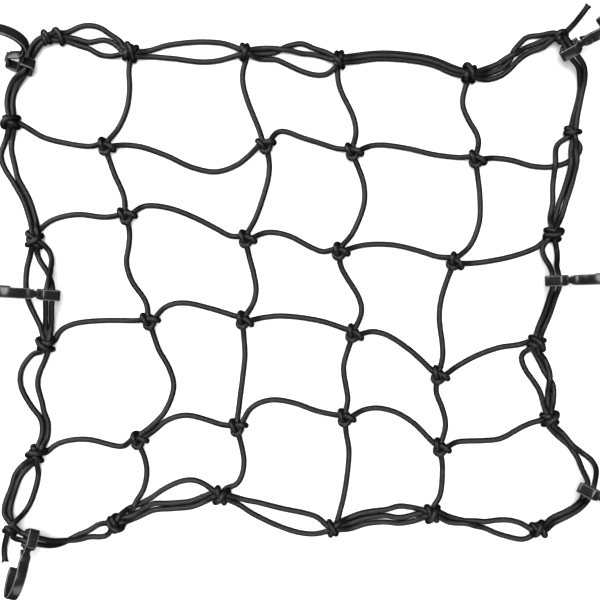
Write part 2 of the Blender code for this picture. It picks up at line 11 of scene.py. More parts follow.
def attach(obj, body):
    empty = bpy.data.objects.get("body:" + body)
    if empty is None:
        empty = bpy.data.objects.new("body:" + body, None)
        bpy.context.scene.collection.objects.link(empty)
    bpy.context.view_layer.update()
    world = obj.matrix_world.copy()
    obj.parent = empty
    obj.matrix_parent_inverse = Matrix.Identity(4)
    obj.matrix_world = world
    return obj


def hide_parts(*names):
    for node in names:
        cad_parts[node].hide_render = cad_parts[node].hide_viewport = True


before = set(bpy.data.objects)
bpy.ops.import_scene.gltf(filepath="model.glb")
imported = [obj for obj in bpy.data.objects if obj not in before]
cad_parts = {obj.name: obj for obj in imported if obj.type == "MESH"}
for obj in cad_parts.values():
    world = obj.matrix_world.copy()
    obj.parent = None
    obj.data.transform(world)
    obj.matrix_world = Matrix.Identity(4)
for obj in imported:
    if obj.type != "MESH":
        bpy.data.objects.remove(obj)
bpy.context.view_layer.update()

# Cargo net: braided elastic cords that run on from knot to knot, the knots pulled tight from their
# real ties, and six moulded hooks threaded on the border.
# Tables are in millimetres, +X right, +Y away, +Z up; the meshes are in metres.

MM = 0.001
CENTRE = (12.03, 0.48)  # the middle of the whole net in the tables' own coordinates

LYING = 2.0  # height of a cord's middle where it lies on the floor
CORD_GAP = 4.3  # least distance between the middles of two cords outside the knots
KNOT_REACH = 9.0  # cords within this distance of a knot's middle belong to the knot
BURIED = 3.0  # a cord ends this far from the middle of its knot

# Knots, rows a to f from the far side and columns 1 to 6 from the left. Those of the border, in order
# round the net: x, y, turn of the axis in degrees, length.
BORDER_KNOTS = {
    "a1": (-189, 196.2, 0, 10),
    "a2": (-127, 184.6, -8, 16),
    "a3": (-41.3, 185, -8, 12),
    "a4": (29.4, 179, 22, 13),
    "a5": (126.4, 168.8, -8, 12.5),
    "a6": (193, 195.6, -40, 12),
    "b6": (203.6, 125.2, 88, 11.5),
    "c6": (188.8, 49.2, 90, 10.5),
    "d6": (176.4, -32.5, 62, 14),
    "e6": (186, -88.6, 90, 12),
    "f6": (178, -171.3, 22, 13),
    "f5": (98.5, -159, 12, 17),
    "f4": (24.2, -170.2, 28, 13.5),
    "f3": (-59, -145.6, -6, 14),
    "f2": (-137, -167, 32, 14),
    "f1": (-214, -170.4, 48, 13.5),
    "e1": (-196.4, -115, 60, 13.5),
    "d1": (-189.2, -32.8, 86, 13.5),
    "c1": (-197.6, 45.2, 72, 18),
    "b1": (-215.6, 133, 88, 11.5),
}
# Those inside the mesh, and the small knot that the top left one takes in: x, y.
MESH_KNOTS = {
    "b2": (-145, 115.2), "b3": (-26, 116.5), "b4": (39.6, 111.2), "b5": (131.8, 105.6),
    "c2": (-129.6, 63.6), "c3": (-40, 46.2), "c4": (29.8, 37), "c5": (115.8, 29),
    "d2": (-112.4, -15), "d3": (-41.8, -14.8), "d4": (40.4, -24.8), "d5": (104.2, -56),
    "e2": (-120.8, -104), "e3": (-46.8, -94.2), "e4": (34, -87.4), "e5": (105.4, -109.8),
}
EYE_KNOT = {"eye": (-179.8, 197)}
LIFTED = {"a6": 9, "f1": 8}  # knots that a hook close by holds off the floor

# Cords of the mesh: its two knots, and the points between them as x, y and, where lifted, z.
MESH_CORDS = (
    ("b1 b2", (-208, 131.5), (-193.5, 122.5), (-172, 117), (-155, 114.8)),
    ("b2 b3", (-134, 116.6), (-119, 114.8), (-100, 108.2), (-81, 99.5), (-62.5, 96.2), (-46, 102),
        (-35, 111)),
    ("b3 b4", (-22.5, 124.5), (-14, 127.2), (1, 122), (16, 117.3), (29, 113)),
    ("b4 b5", (47.5, 115), (60, 116.4), (80.8, 113.7), (101, 109), (120, 106.7)),
    ("b5 b6", (142, 106.8), (158, 105), (175, 100.3), (189.5, 99.8), (201, 103.6), (208.5, 109.5),
        (211, 116.5), (208.5, 122)),
    ("c1 c2", (-190.5, 57.5), (-180, 62), (-166, 64.2), (-146, 61.9), (-138, 62.8)),
    ("c2 c3", (-124.5, 69), (-113, 71), (-97, 68.6), (-81, 62.7), (-60, 52), (-48, 45)),
    ("c3 c4", (-32, 49.8), (-22, 51), (-8, 48), (8, 39.7), (20, 34.9)),
    ("c4 c5", (39.5, 39.8), (54, 41.8), (70, 41.3), (88, 37.2), (106, 31.4)),
    ("c5 c6", (126, 27.4), (142, 29.2), (160, 33), (173, 37.4), (181, 41)),
    ("d1 d2", (-182.5, -24), (-170, -18), (-152, -15.6), (-127, -15.5), (-121, -16)),
    ("d2 d3", (-106, -7.8), (-96, -3), (-85, -2.3), (-67, -6.3), (-50.5, -11.5)),
    ("d3 d4", (-33, -13.8), (-15, -11.9), (7.7, -14.2), (23, -17.7), (32.5, -21.5)),
    ("d4 d5", (49, -22.8), (63.5, -25.5), (81, -36.4), (96.5, -50)),
    ("d5 d6", (113, -52.3), (131.7, -42), (150, -35.5), (161, -34), (168, -33.5, 5)),
    ("e1 e2", (-188, -110), (-173.5, -105.3), (-158.7, -104.6), (-141, -108.8), (-131.5, -110.4)),
    ("e2 e3", (-112.5, -100.4), (-101.5, -91), (-86, -86.4), (-68, -90.4), (-54, -95.4)),
    ("e3 e4", (-41, -84.5), (-32.5, -78), (-20, -74.8), (-4, -77.3), (12, -83), (25.5, -86.2)),
    ("e4 e5", (42, -83.7), (56.7, -80.9), (72, -84.2), (86.5, -93.3), (98, -105)),
    ("e5 e6", (115, -106.4), (137.5, -105.4), (150, -104), (166.5, -95.2), (177, -90.5)),
    ("a2 b2", (-129, 175), (-127.8, 162), (-129.5, 145), (-135, 130.7), (-140.5, 122.5)),
    ("a3 b3", (-42.8, 174.5), (-43.2, 165), (-40.5, 153), (-34, 136), (-29, 124.5)),
    ("a4 b4", (27, 168), (31.5, 155), (39.4, 139), (42.3, 127), (41.6, 119.5)),
    ("a5 b5", (123.5, 158.5), (121.8, 147.5), (126.5, 135), (133, 124), (135.2, 114)),
    ("b2 c2", (-143.2, 106.5), (-139.5, 95), (-133.5, 82), (-130.2, 72)),
    ("b3 c3", (-23, 106), (-23.5, 93), (-27.5, 77.5), (-33.5, 60.5)),
    ("b4 c4", (43.3, 101), (48, 86), (48, 72), (42, 55), (36, 44)),
    ("b5 c5", (132.9, 96), (134.8, 80), (134.5, 58.5), (128, 41), (121.5, 33.3)),
    ("c2 d2", (-127.7, 54), (-128.3, 41.5), (-130.2, 28), (-126, 14), (-117, 1.5), (-113.8, -5)),
    ("c3 d3", (-39, 36), (-35, 21), (-32.9, 7), (-36, -6)),
    ("c4 d4", (29, 28), (36.5, 14.7), (44, 2.2), (46.6, -8.5), (44.5, -16.5)),
    ("c5 d5", (111.8, 19), (106, 1), (104.5, -13), (107, -35), (107.2, -45.5)),
    ("d2 e2", (-110.4, -23.5), (-106.5, -36), (-98, -51.5), (-94.7, -65), (-101.5, -84), (-113, -96.6, 4)),
    ("d3 e3", (-42.3, -24), (-41.3, -41), (-43, -58), (-46, -82)),
    ("d4 e4", (36.8, -34.5), (32.7, -50), (34.5, -65), (36.8, -78.5)),
    ("d5 e5", (101, -66), (106.5, -80.5), (109.5, -93), (108.6, -101)),
    ("e2 f2", (-118, -113), (-114.9, -126), (-117, -141.5), (-124, -154.5), (-130, -160.5)),
    ("e3 f3", (-44.8, -105), (-42, -121), (-44.8, -135), (-51, -142.5)),
    ("e4 f4", (34, -97), (36.7, -112), (35, -134), (31.5, -153), (28.5, -162)),
    ("e5 f5", (107, -119), (106.7, -133), (105.3, -147), (103, -153)),
)

# Cords of the border, the same way; ("name", side) passes the cord through that hook's strap loop,
# on the side towards its round hook (1) or away from it (-1).
BORDER_CORDS = (
    ("eye a2", (-173, 201.5), (-163, 205.6), (-152, 205), (-140.5, 198.8), (-133, 191.5)),
    ("eye a2", (-169, 196.2), (-160, 194), (-148, 194.7), (-137, 191)),
    ("eye a2", (-170, 192.2), (-160, 188.6), (-148, 183.3), (-137.5, 182.8)),
    ("a2 a3", (-117, 186.9), (-98, 191.3), (-76, 193.6), (-57, 192.5), (-50, 190.5)),
    ("a2 a3", (-117, 182), (-97, 181.3), (-73, 178.5), (-57, 180.3), (-50.5, 183)),
    ("a3 a4", (-31.5, 188.8), (-12, 186.6, 6), (8, 183.3), (20, 182)),
    ("a3 a4", (-31, 184.6), (-20, 186, 2.5), (-8, 191.6), (3, 192.2), (13, 188.5), (22, 184.5, 5)),
    ("a3 a4", (-32, 181), (-17, 179.4), (3, 171), (15, 168.3), (23.5, 170)),
    ("a4 a5", (40, 184), (56.7, 186.3), (78, 185), (97, 181.8), (116, 175)),
    ("a4 a5", (40, 180.5, 5), (58, 183, 5), (80, 182, 5), (100, 178.4, 5), (117, 171.5, 5)),
    ("a4 a5", (40, 177.8), (58.7, 180), (82, 179.2), (100, 175.6), (116, 167.8)),
    ("a5 a6", (137, 173), (151, 178.2), (160, 183.6, 6), (173, 190), (185.5, 193.4, 8)),
    ("a5 a6", (137, 168.8), (149, 173), (155.5, 180), (160.5, 189, 2), (168, 196.5), (177, 199),
        (185.5, 196.8, 8)),
    ("a5 a6", (137, 164.8), (150, 166.8), (162.5, 177.1), (174, 186.7), (186, 189.8, 8)),
    ("a6 b6", ("hook_top_right", 1), (208.2, 175.2, 18), (210.9, 168.5, 12), (211.6, 162.5, 7),
        (209.8, 152.5, 5), (206.4, 136, 5)),
    ("a6 b6", ("hook_top_right", -1), (206.8, 173.2, 16), (209.4, 166.5, 8), (210.2, 159, 2.6),
        (208.6, 148.5), (205.2, 136)),
    ("b6 c6", (196.5, 123), (192, 116), (191, 103, 6), (190, 90), (187.6, 66), (186.4, 58)),
    ("b6 c6", (202.4, 116), (201.7, 104, 6.3), (199, 86), (193.5, 64), (190.4, 58)),
    ("b6 c6", (206.8, 116.5), (208.4, 106, 6.3), (205.5, 91), (199, 74), (194.8, 61)),
    ("c6 d6", (183.2, 44.6, 6), (180.2, 39, 6.5), (182.6, 30, 10), (184.6, 23.5, 17),
        ("hook_mid_right", -1), (185.6, 5, 17), (184.4, -2, 11), (181.5, -12.5, 4.5), (177.8, -23)),
    ("c6 d6", (192.6, 41), (192, 31, 8), (190.4, 23.8, 17), ("hook_mid_right", 1), (189.4, 5, 17),
        (188.6, -2, 11), (186.4, -13, 4.5), (181.6, -24)),
    ("d6 e6", (170, -36), (165.4, -41), (167.8, -50), (177.4, -64.4), (182.8, -78)),
    ("d6 e6", (178, -42), (181.5, -50), (186.3, -58, 2), (190.2, -65), (189.5, -78)),
    ("d6 e6", (181.2, -39), (185.2, -48), (186.8, -58, 6.3), (186.3, -70), (186, -77.5)),
    ("e6 f6", (189.8, -99), (201, -108, 2), (206.6, -116.8, 4), (208.9, -123, 9), (210.2, -129.3, 17),
        ("hook_bottom_right", -1), (208.6, -147.4, 14), (204.2, -154.2, 7.5), (195.3, -160.2, 3),
        (186, -164.2)),
    ("e6 f6", (194.2, -96.5), (203.5, -108.8, 6.3), (213, -114.8, 4), (218.9, -120.8, 8), (219.8, -127, 15),
        ("hook_bottom_right", 1), (213.4, -148.8, 14), (209.8, -155.8, 7.5), (198.6, -163.4), (187, -168)),
    ("f6 f5", (168.5, -168), (157.7, -165.1), (140, -165.3), (124, -165.6, 2), (110.5, -162)),
    ("f6 f5", (176, -180), (167.3, -180), (153.8, -176.9), (138.5, -171.9), (124, -166.8, 6),
        (110.5, -166.8, 4)),
    ("f5 f4", (88, -155.2), (75, -154.3), (59.6, -156.9), (45, -159.8), (34.5, -164.5)),
    ("f5 f4", (87.5, -160.4), (75, -162.8), (62, -161.6), (48, -163.8), (36, -168.6)),
    ("f5 f4", (89, -166), (75, -168), (60, -167.6), (45, -168.9), (35, -172.4)),
    ("f4 f3", (17.5, -164.2), (4.8, -160.1), (-13.5, -156.3), (-32.7, -151.4), (-49, -147.2)),
    ("f4 f3", (14.5, -175.4), (1, -174.7), (-15.4, -169.7), (-34, -161), (-50, -152)),
    ("f3 f2", (-68, -139.8), (-77, -135.4), (-88, -135.6), (-104.8, -143.1), (-121, -152.8), (-127, -157.4)),
    ("f3 f2", (-69, -145.4), (-80, -150.5), (-95, -152.8), (-112, -152.6, 3), (-127.5, -161, 5)),
    ("f3 f2", (-68, -150), (-82, -154.8, 3), (-96.2, -155.9), (-112, -159.4), (-126.5, -165.4)),
    ("f2 f1", (-146.5, -165.6), (-157, -171.4), (-171, -178.8, 2), (-179.5, -182.4, 8), (-185.4, -182, 16),
        ("hook_bottom_left", 1), (-207.6, -175.2, 20)),
    ("f2 f1", (-143.5, -176.9), (-157.7, -178.2), (-170, -179.2, 6), (-177.4, -179, 10),
        (-183.4, -177.6, 17), ("hook_bottom_left", -1), (-206.4, -171.4, 20)),
    ("f1 e1", (-220.8, -162, 9), (-221, -153.4, 4), (-216.2, -141.3), (-212.4, -129.8), (-205, -120.5)),
    ("f1 e1", (-216.9, -160.7, 8), (-216.6, -152.6, 4), (-212.6, -139, 4), (-209, -130), (-201.6, -123.8)),
    ("f1 e1", (-208.9, -163.1, 8), (-202.9, -153.8), (-198.1, -140.4), (-195.2, -125)),
    ("e1 d1", (-193.9, -104.5), (-193.6, -93), (-200.5, -81.5), (-209.3, -64.5), (-208.7, -51.9),
        (-197, -36.5)),
    ("e1 d1", (-190.2, -105), (-188.4, -94), (-192.2, -80), (-196.7, -64), (-195.2, -53.8), (-190.2, -43)),
    ("d1 c1", (-193.5, -22.5), (-199.5, -10), (-204.6, 2), (-205.5, 17.3), (-202.6, 35.5)),
    ("d1 c1", (-189, -21.3, 7), (-188, -12, 14), ("hook_mid_left", 1), (-184.6, 14.8, 21.5),
        (-184.4, 22, 15), (-185, 30.5, 8), (-187.8, 38, 6)),
    ("d1 c1", (-186.2, -21, 6), (-184.6, -12, 13), ("hook_mid_left", -1), (-184.4, 14.8, 16.5),
        (-188.6, 20.5, 9), (-192.8, 26.5, 4.5), (-197, 33.5)),
    ("c1 b1", (-202, 57.5), (-207.2, 73.1), (-219.2, 93.5), (-224.4, 108.7), (-220.5, 123)),
    ("c1 b1", (-197.8, 57), (-202.4, 75), (-211.8, 95), (-216, 111.5), (-214.8, 123)),
    ("b1 a1", (-219.8, 142.5), (-219.8, 154), (-214.6, 165, 6), ("hook_top_left", 1), (-200, 190, 8)),
    ("b1 a1", (-215.6, 142.5), (-215.2, 151), (-210.8, 161, 4.5), ("hook_top_left", -1), (-197.5, 185.5, 8)),
)

# Loose ends: the knot, and the points out to the cut.
TAILS = (
    ("a6", (201.6, 203, 9), (209.2, 211.6, 4), (216.6, 221.4, 2)),
    ("f1", (-219.2, -178.4, 8), (-221.9, -187, 3), (-221.2, -196.6)),
)

# Hooks: x and y of the strap loop's middle, heading of the hook, how far its nose is raised and
# how far it leans to the left of its heading, in degrees.
HOOKS = {
    "hook_top_left": (-203.5, 174.0, 42.6, 66, 121.7),
    "hook_mid_left": (-184.0, 3.6, 176.5, 27, -2),
    "hook_bottom_left": (-196.2, -174.9, -102, 18, -20),
    "hook_top_right": (198.8, 182.8, 26.7, 28, 18),
    "hook_mid_right": (187.8, 14.1, 1.7, 27, 2),
    "hook_bottom_right": (211.5, -140.6, -27, 27, 2),
}

# The hook's side view: along the hook from its waist, and out towards its tip.
HOOK_WIDTH = 7.8
WALL = 2.4  # thickness of the strap loop's walls
LOOP_MIDDLE = (-7.8, -5.2)  # where the two cords pass
LOOP_SIDE = 2.25  # the two cords lie this far to each side of the middle
LOOP_PASS = 5.5  # and run straight for this far before and behind it
FRAME = (  # gate finger, back wall, end wall, outer plate and waist wall: along, out, width
    (-2.8, 10.6, 7.4),
    (-5.8, 8.9, 7.6),
    (-13.0, 8.8, 7.8),
    (-14.2, 7.6, 7.8),
    (-14.2, -8.4, 7.8),
    (-13.0, -9.6, 7.8),
    (-2.6, -9.6, 7.8),
    (-1.4, -8.4, 7.8),
    (-1.4, 0.0, 7.8),
)
SPINE = (  # shank, waist and start of the round hook: along, out, width, thickness
    (-14.2, 0.0, 7.6, 2.4),
    (-1.2, 0.0, 7.6, 2.4),
    (0.4, 0.0, 5.6, 2.6),
    (1.2, -0.1, 5.0, 2.7),
    (2.2, -0.3, 5.0, 2.8),
    (4.8, -0.9, 7.6, 3.0),
)
ROUND_MIDDLE = (17.6, 14.6)
ROUND_HALF = (16.9, 16.2)  # half length and half depth of the round hook
ROUND_WALL = 3.4
ROUND_FROM, ROUND_TO, ROUND_STEPS = 60, 284, 15
TIP_LIP = (13.0, 31.6, 7.4, 2.6)
TONGUE = (  # springs from the round hook and closes the strap loop's gate
    (8.6, -0.6, 6.4, 2.4),
    (5.4, 2.6, 6.4, 2.2),
    (2.8, 6.0, 6.4, 2.1),
    (0.2, 8.8, 6.4, 1.9),
)
BANDS = ((3, 0.0), (2, 1.0), (3, 0.0))  # frame, spine, tongue: times its corners are cut, groove
GROOVE = ((-0.42, 0.0), (-0.26, 0.32), (0.26, 0.32), (0.42, 0.0))  # across a side wall, depth
GROOVE_FROM, GROOVE_RAMP = 5.0, 3.0  # where along the hook it starts, and how slowly
LIT_CORNERS = ((0.0, 1.0, 1.0, 0.0) * 2 + (0.0,) * len(GROOVE)) * 2  # round a band: 1 marks the corners that get a painted highlight, a lighter colour in place of light caught along the edges
CORNER = 0.8  # rounding of a band's long edges
END_BEVEL = 0.4
SHARP = 42  # degrees between faces that meet in a sharp edge

ROPE = 2.1  # radius of the braided cord
TOUCH = 3.55  # least distance between the middles of two cords that squeeze each other in a knot
WRAP = 3.9  # unit of length of the ties below
SIDE_BY_SIDE = 4.15  # between the middles of two cords that touch
NEARLY = 7.4  # two cords of one bundle nearer than this touch
COURSE_STEP = 2.0  # between the points of a cord's course from knot to knot
SETTLE, SETTLE_AGAIN = 40, 6  # rounds of moving cords apart, and again once drawn together
TUBE_STEP = 1.25  # between the rings of its tube
SPACING = 1.4  # between the points of a cord while its knot is pulled tight
CROSSED = "a2 a5 b1 c1 d1 e1 c6 d6 e6 f6 f5 f3 f2".split()  # knots whose wraps cross over each other
LEG = 11.5  # a cord's own course begins this far from the knot's middle
LEG_IN = 9.5  # and its way into the knot ends this far from it
ROUNDS, LAST_ROUNDS = 320, 30  # of pulling a knot tight, and how many of them pull little
PULL, LAST_PULL = 0.42, 0.12  # share of the way to its neighbours' middle that a point goes
SKIP = 5  # points this near along one cord don't push each other
TUBE_SIDES = 12
ROUND_OFF = 18  # passes that round a cord off beside its knots
FLARE = 1.3  # the sheath's width at a cut end against the cord's
SLANT = 1.3  # how far the top of a cut lies behind its sides
CORES = 8  # rubber strands inside the cord
CORE_THICK, CORE_SIDES = 0.47, 8  # radius of a strand and sides of its tube
CORE_RING = 1.15  # the outer ones stand this far from the cord's middle
FIBRES = 14  # loose ones round each cut end
FIBRE_THICK, FIBRE_SIDES = 0.06, 4
BRAID_ROUND = 10.0  # strands of each direction round the cord
BRAID_PITCH = 1.6  # mm along the cord from one to the next
YARNS = 3.0  # in each strand
MAP_UNIT = 0.1  # of the cord's map, for each mm along it

LAMPS = (  # name, kind, strength, spread, place in metres; the cards show in glossy surfaces alone
    ("soft_sky", "SUN", 4.6, 0.6, (-0.06, 0.16, 1.35)),
    ("left_card", "AREA", 18.0, 0.7, (-0.95, 0.55, 0.45)),
    ("front_card", "AREA", 8.0, 0.7, (0.05, -1.05, 0.45)),
)
SKY = 0.6  # strength of the even light, which matt surfaces alone take
FLOOR = 30.0  # m from the middle of the floor to its edge
CAMERA_HEIGHT, LENS = 1.002, 80.0  # m and mm

# A sheet bend in units of WRAP: a bight open towards +x, and the cord that comes up through it,
# goes round behind it and leaves under itself.
BIGHT = (
    (1.6, 1, 0), (0.6, 1, 0), (-1.2, 0.9, 0), (-1.9, 0, 0), (-1.2, -0.9, 0), (0.6, -1, 0), (1.6, -1, 0),
)
ROUND_TURN = (
    (-1.9, -0.2, -1), (-0.9, 0, -0.1), (-0.5, 0.5, 1.6), (0, 1.3, 1.3), (0.5, 2.1, 0.3),
    (0.7, 2, -0.8), (0.8, 1, -1.2), (0.8, -1, -1.2), (0.7, -2, -0.6), (0.4, -2.1, 0.4), (0, -1.2, 1.1),
    (-0.3, -0.3, 0.7), (-0.6, 0.45, 0.5), (-1.3, 0.9, 1), (-2.0, 1.3, 0.5),
)

# By how many cords pass inside a border knot: how wide its wraps are, and where each cord passes.
BUNDLE = {
    2: (1.45, ((-0.5, 0.0), (0.5, 0.0))),
    3: (1.6, ((-0.52, -0.3), (0.52, -0.3), (0.0, 0.6))),
    4: (1.85, ((-0.52, -0.5), (0.0, 0.5), (0.52, -0.5), (0.75, 0.5))),
}
# Crossed wraps, by how far along they are: their place along the bundle, and how wide they are.
CROSS_RUN = (0.0, 0.3, 0.5, 0.68, 0.9, 1.0), (1.0, 1.0, -1.0, -1.0, 0.3, 0.3)
CROSS_WIDE = (0.0, 0.28, 0.4, 0.52, 1.0), (1.04, 1.08, 1.5, 1.1, 1.04)

BORDER_ORDER = list(BORDER_KNOTS)
MIDDLES = {  # of all knots, a little below half their height of 11, 10 and 9 mm
    name: np.array([x, y, high * 0.45 + LIFTED.get(name, 0.0)])
    for table, high in ((BORDER_KNOTS, 11), (MESH_KNOTS, 10), (EYE_KNOT, 9))
    for name, (x, y, *_) in table.items()
}


# Meshes

def add_object(name, data):
    obj = bpy.data.objects.new(name, data)
    bpy.context.scene.collection.objects.link(obj)
    return obj


def ring_faces(rows, sides):
    """Quads between rings of points, each ring joined to the next."""
    i = np.arange(rows - 1)[:, None]
    k = np.arange(sides)[None, :]
    m = (k + 1) % sides
    quad = np.stack([i * sides + k, i * sides + m, (i + 1) * sides + m, (i + 1) * sides + k], 2)
    return quad.reshape(-1, 4)


def new_piece(name, verts, faces, mat, along=None, corner_highlight=None):
    """A smooth mesh object, its faces turned outwards, with a map or, for each point, how much painted
    highlight it takes.
    """
    mesh = bpy.data.meshes.new(name)
    mesh.from_pydata(verts, [], faces)
    mesh.materials.append(mat)
    if along is not None:
        mesh.uv_layers.new(name="Along").uv.foreach_set("vector", along)
    if corner_highlight is not None:
        mesh.attributes.new("corner_highlight", "FLOAT", "POINT").data.foreach_set("value", corner_highlight)
    bm = bmesh.new()
    bm.from_mesh(mesh)
    bmesh.ops.recalc_face_normals(bm, faces=bm.faces)
    bm.to_mesh(mesh)
    bm.free()
    mesh.polygons.foreach_set("use_smooth", [True] * len(mesh.polygons))
    return add_object(name, mesh)


# Hooks

def side_points(rows):
    """Inner and outer points of a band that follows rows of along, out, width and thickness."""
    points = []
    middles = [Vector(row[:2]) for row in rows]
    runs = [(b - a).normalized() for a, b in zip(middles, middles[1:])]
    for row, here, first, second in zip(rows, middles, [runs[0], *runs], [*runs, runs[-1]]):
        run = (first + second).normalized()
        side = Vector((-run.y, run.x)) * (row[3] / 2 / max(run.dot(first), 0.5))
        points.append((here + side, here - side, row[2] / 2))
    return points


def hook_rows():
    """The rows of the hook's three bands: strap loop, spine with the round hook, and tongue."""
    spine = list(SPINE)
    for i in range(ROUND_STEPS + 1):
        turn = radians(ROUND_FROM + (ROUND_TO - ROUND_FROM) * i / ROUND_STEPS)
        along = ROUND_MIDDLE[0] - ROUND_HALF[0] * cos(turn)
        out = ROUND_MIDDLE[1] - ROUND_HALF[1] * sin(turn)
        spine.append((along, out, HOOK_WIDTH, ROUND_WALL))
    return [(*row, WALL) for row in FRAME], [*spine, TIP_LIP], TONGUE


def hook_place(name, bands):
    """The hook's axes along it, out to its tip and across it, and its waist's place over the floor."""
    x, y, *turns = HOOKS[name]
    h, p, r = (radians(turn) for turn in turns)
    along = Vector((cos(h) * cos(p), sin(h) * cos(p), sin(p)))
    left = Vector((-sin(h), cos(h), 0.0))
    out = left.cross(along) * cos(r) + left * sin(r)
    across = along.cross(out)
    lowest = min(
        along.z * p.x + out.z * p.y + across.z * half * sign
        for rows in bands for inner, outer, half in side_points(rows)
        for p in (inner, outer) for sign in (-1, 1)
    )
    middle = along * LOOP_MIDDLE[0] + out * LOOP_MIDDLE[1]
    return (along, out, across), Vector((x - middle.x, y - middle.y, -lowest))


def to_world(place, point):
    (along, out, across), waist = place
    return waist + along * point[0] + out * point[1] + across * point[2]


def rounded(rows, cuts):
    """The rows with their corners cut and cut again, so the band bends smoothly."""
    for _ in range(cuts):
        finer = [rows[0]]
        for a, b in zip(rows, rows[1:]):
            finer += [tuple(p * s + q * t for p, q in zip(a, b)) for s, t in ((0.78, 0.22), (0.22, 0.78))]
        rows = [*finer, rows[-1]]
    return rows


def band_section(inner, outer, half, groove):
    """Points round a band, with a groove of this share of its full depth in both side walls."""
    thick = (inner - outer).length
    corner = min(CORNER, thick * 0.34, half * 0.3)
    section = []
    for away, sign in ((-1, 1), (-1, -1), (1, -1), (1, 1)):
        depth = corner if away < 0 else thick - corner
        across = sign * (half - corner)
        for k in range(4):
            turn = pi / 2 * k / 3
            turn = pi / 2 - turn if away == sign else turn
            section.append((depth + away * corner * sin(turn), across + sign * corner * cos(turn)))
        if away == sign:
            section += [(thick / 2 - off * sign, sign * (half - deep * groove)) for off, deep in GROOVE]
    out = (outer - inner).normalized()
    return [(inner.x + out.x * depth, inner.y + out.y * depth, across) for depth, across in section]


def bevelled(rings):
    """The rings with both ends of the band drawn in a little, so its cut edges are soft."""
    closed = []
    for pair in (rings[:2], rings[:-3:-1]):
        end, beside = ([Vector(p) for p in ring] for ring in pair)
        middle = sum(end, Vector()) / len(end)
        run = (sum(beside, Vector()) / len(end) - middle).normalized()
        drawn = [tuple(p + (middle - p).normalized() * END_BEVEL) for p in end]
        closed.append((drawn, [tuple(p + run * END_BEVEL) for p in end]))
    return [*closed[0], *rings[1:-1], *closed[1][::-1]]


def hook_mesh(name, place, bands, mat):
    """The hook as one mesh of three moulded bands, its corners marked for a painted highlight."""
    verts, faces, highlight_per_point = [], [], []
    middle = Vector((*CENTRE, 0.0))
    for rows, (cuts, groove) in zip(bands, BANDS):
        rows = rounded(rows, cuts)
        depths = [groove * min(max((row[0] - GROOVE_FROM) / GROOVE_RAMP, 0.0), 1.0) for row in rows]
        rings = bevelled([band_section(*side, deep) for side, deep in zip(side_points(rows), depths)])
        size, start = len(rings[0]), len(verts)
        verts += [(to_world(place, p) - middle) * MM for ring in rings for p in ring]
        # each point's share of the painted corner highlight
        highlight_per_point += LIT_CORNERS * len(rings)
        last = len(verts) - size
        faces.append(tuple(range(start, start + size))[::-1])
        faces += (ring_faces(len(rings), size) + start).tolist()
        faces.append(tuple(range(last, last + size)))
    piece = new_piece(name, verts, faces, mat, corner_highlight=highlight_per_point)
    piece.data.set_sharp_from_angle(angle=radians(SHARP))
    return piece


# Cords between the knots

def ramp(value, start, end):
    """Rises from 0 at start to 1 at end, and stays there."""
    return np.clip((value - start) / (end - start), 0.0, 1.0)


def nearest(line, others):
    """How far each point of the line is from the nearest of the others."""
    return norm(line[:, None] - others, axis=2).min(1)


def lay(start, end, between, places):
    """The points of one cord from knot to knot, or to a loose end, and through the hooks on its way."""
    line = [Vector(MIDDLES[start])]
    for item in between:
        if isinstance(item[0], str):
            name, side = item
            along, out = LOOP_MIDDLE[0] + side * LOOP_SIDE, LOOP_MIDDLE[1]
            passing = [to_world(places[name], (along, out, c)) for c in (-LOOP_PASS, 0.0, LOOP_PASS)]
            far = (passing[0] - line[-1]).length > (passing[2] - line[-1]).length
            line += passing[::-1] if far else passing
        else:
            line.append(Vector((*item, LYING)[:3]))
    line[0] = line[0] + (line[1] - line[0]).normalized() * BURIED
    if end:
        last = Vector(MIDDLES[end])
        line.append(last + (line[-1] - last).normalized() * BURIED)
    return line


def curve(line):
    """A smooth line through the points, sampled evenly."""
    ends = [line[0] * 2 - line[1], *line, line[-1] * 2 - line[-2]]
    out = [line[0].copy()]
    for p0, p1, p2, p3 in zip(ends, ends[1:], ends[2:], ends[3:]):
        t1 = (p1 - p0).length ** 0.5
        t2 = t1 + (p2 - p1).length ** 0.5
        t3 = t2 + (p3 - p2).length ** 0.5
        count = max(1, round((p2 - p1).length / COURSE_STEP))
        for i in range(1, count + 1):
            t = t1 + (t2 - t1) * i / count
            a1 = p0.lerp(p1, t / t1)
            a2 = p1.lerp(p2, (t - t1) / (t2 - t1))
            a3 = p2.lerp(p3, (t - t2) / (t3 - t2))
            b1 = a1.lerp(a2, t / t2)
            b2 = a2.lerp(a3, (t - t1) / (t3 - t1))
            out.append(b1.lerp(b2, (t - t1) / (t2 - t1)))
    return out


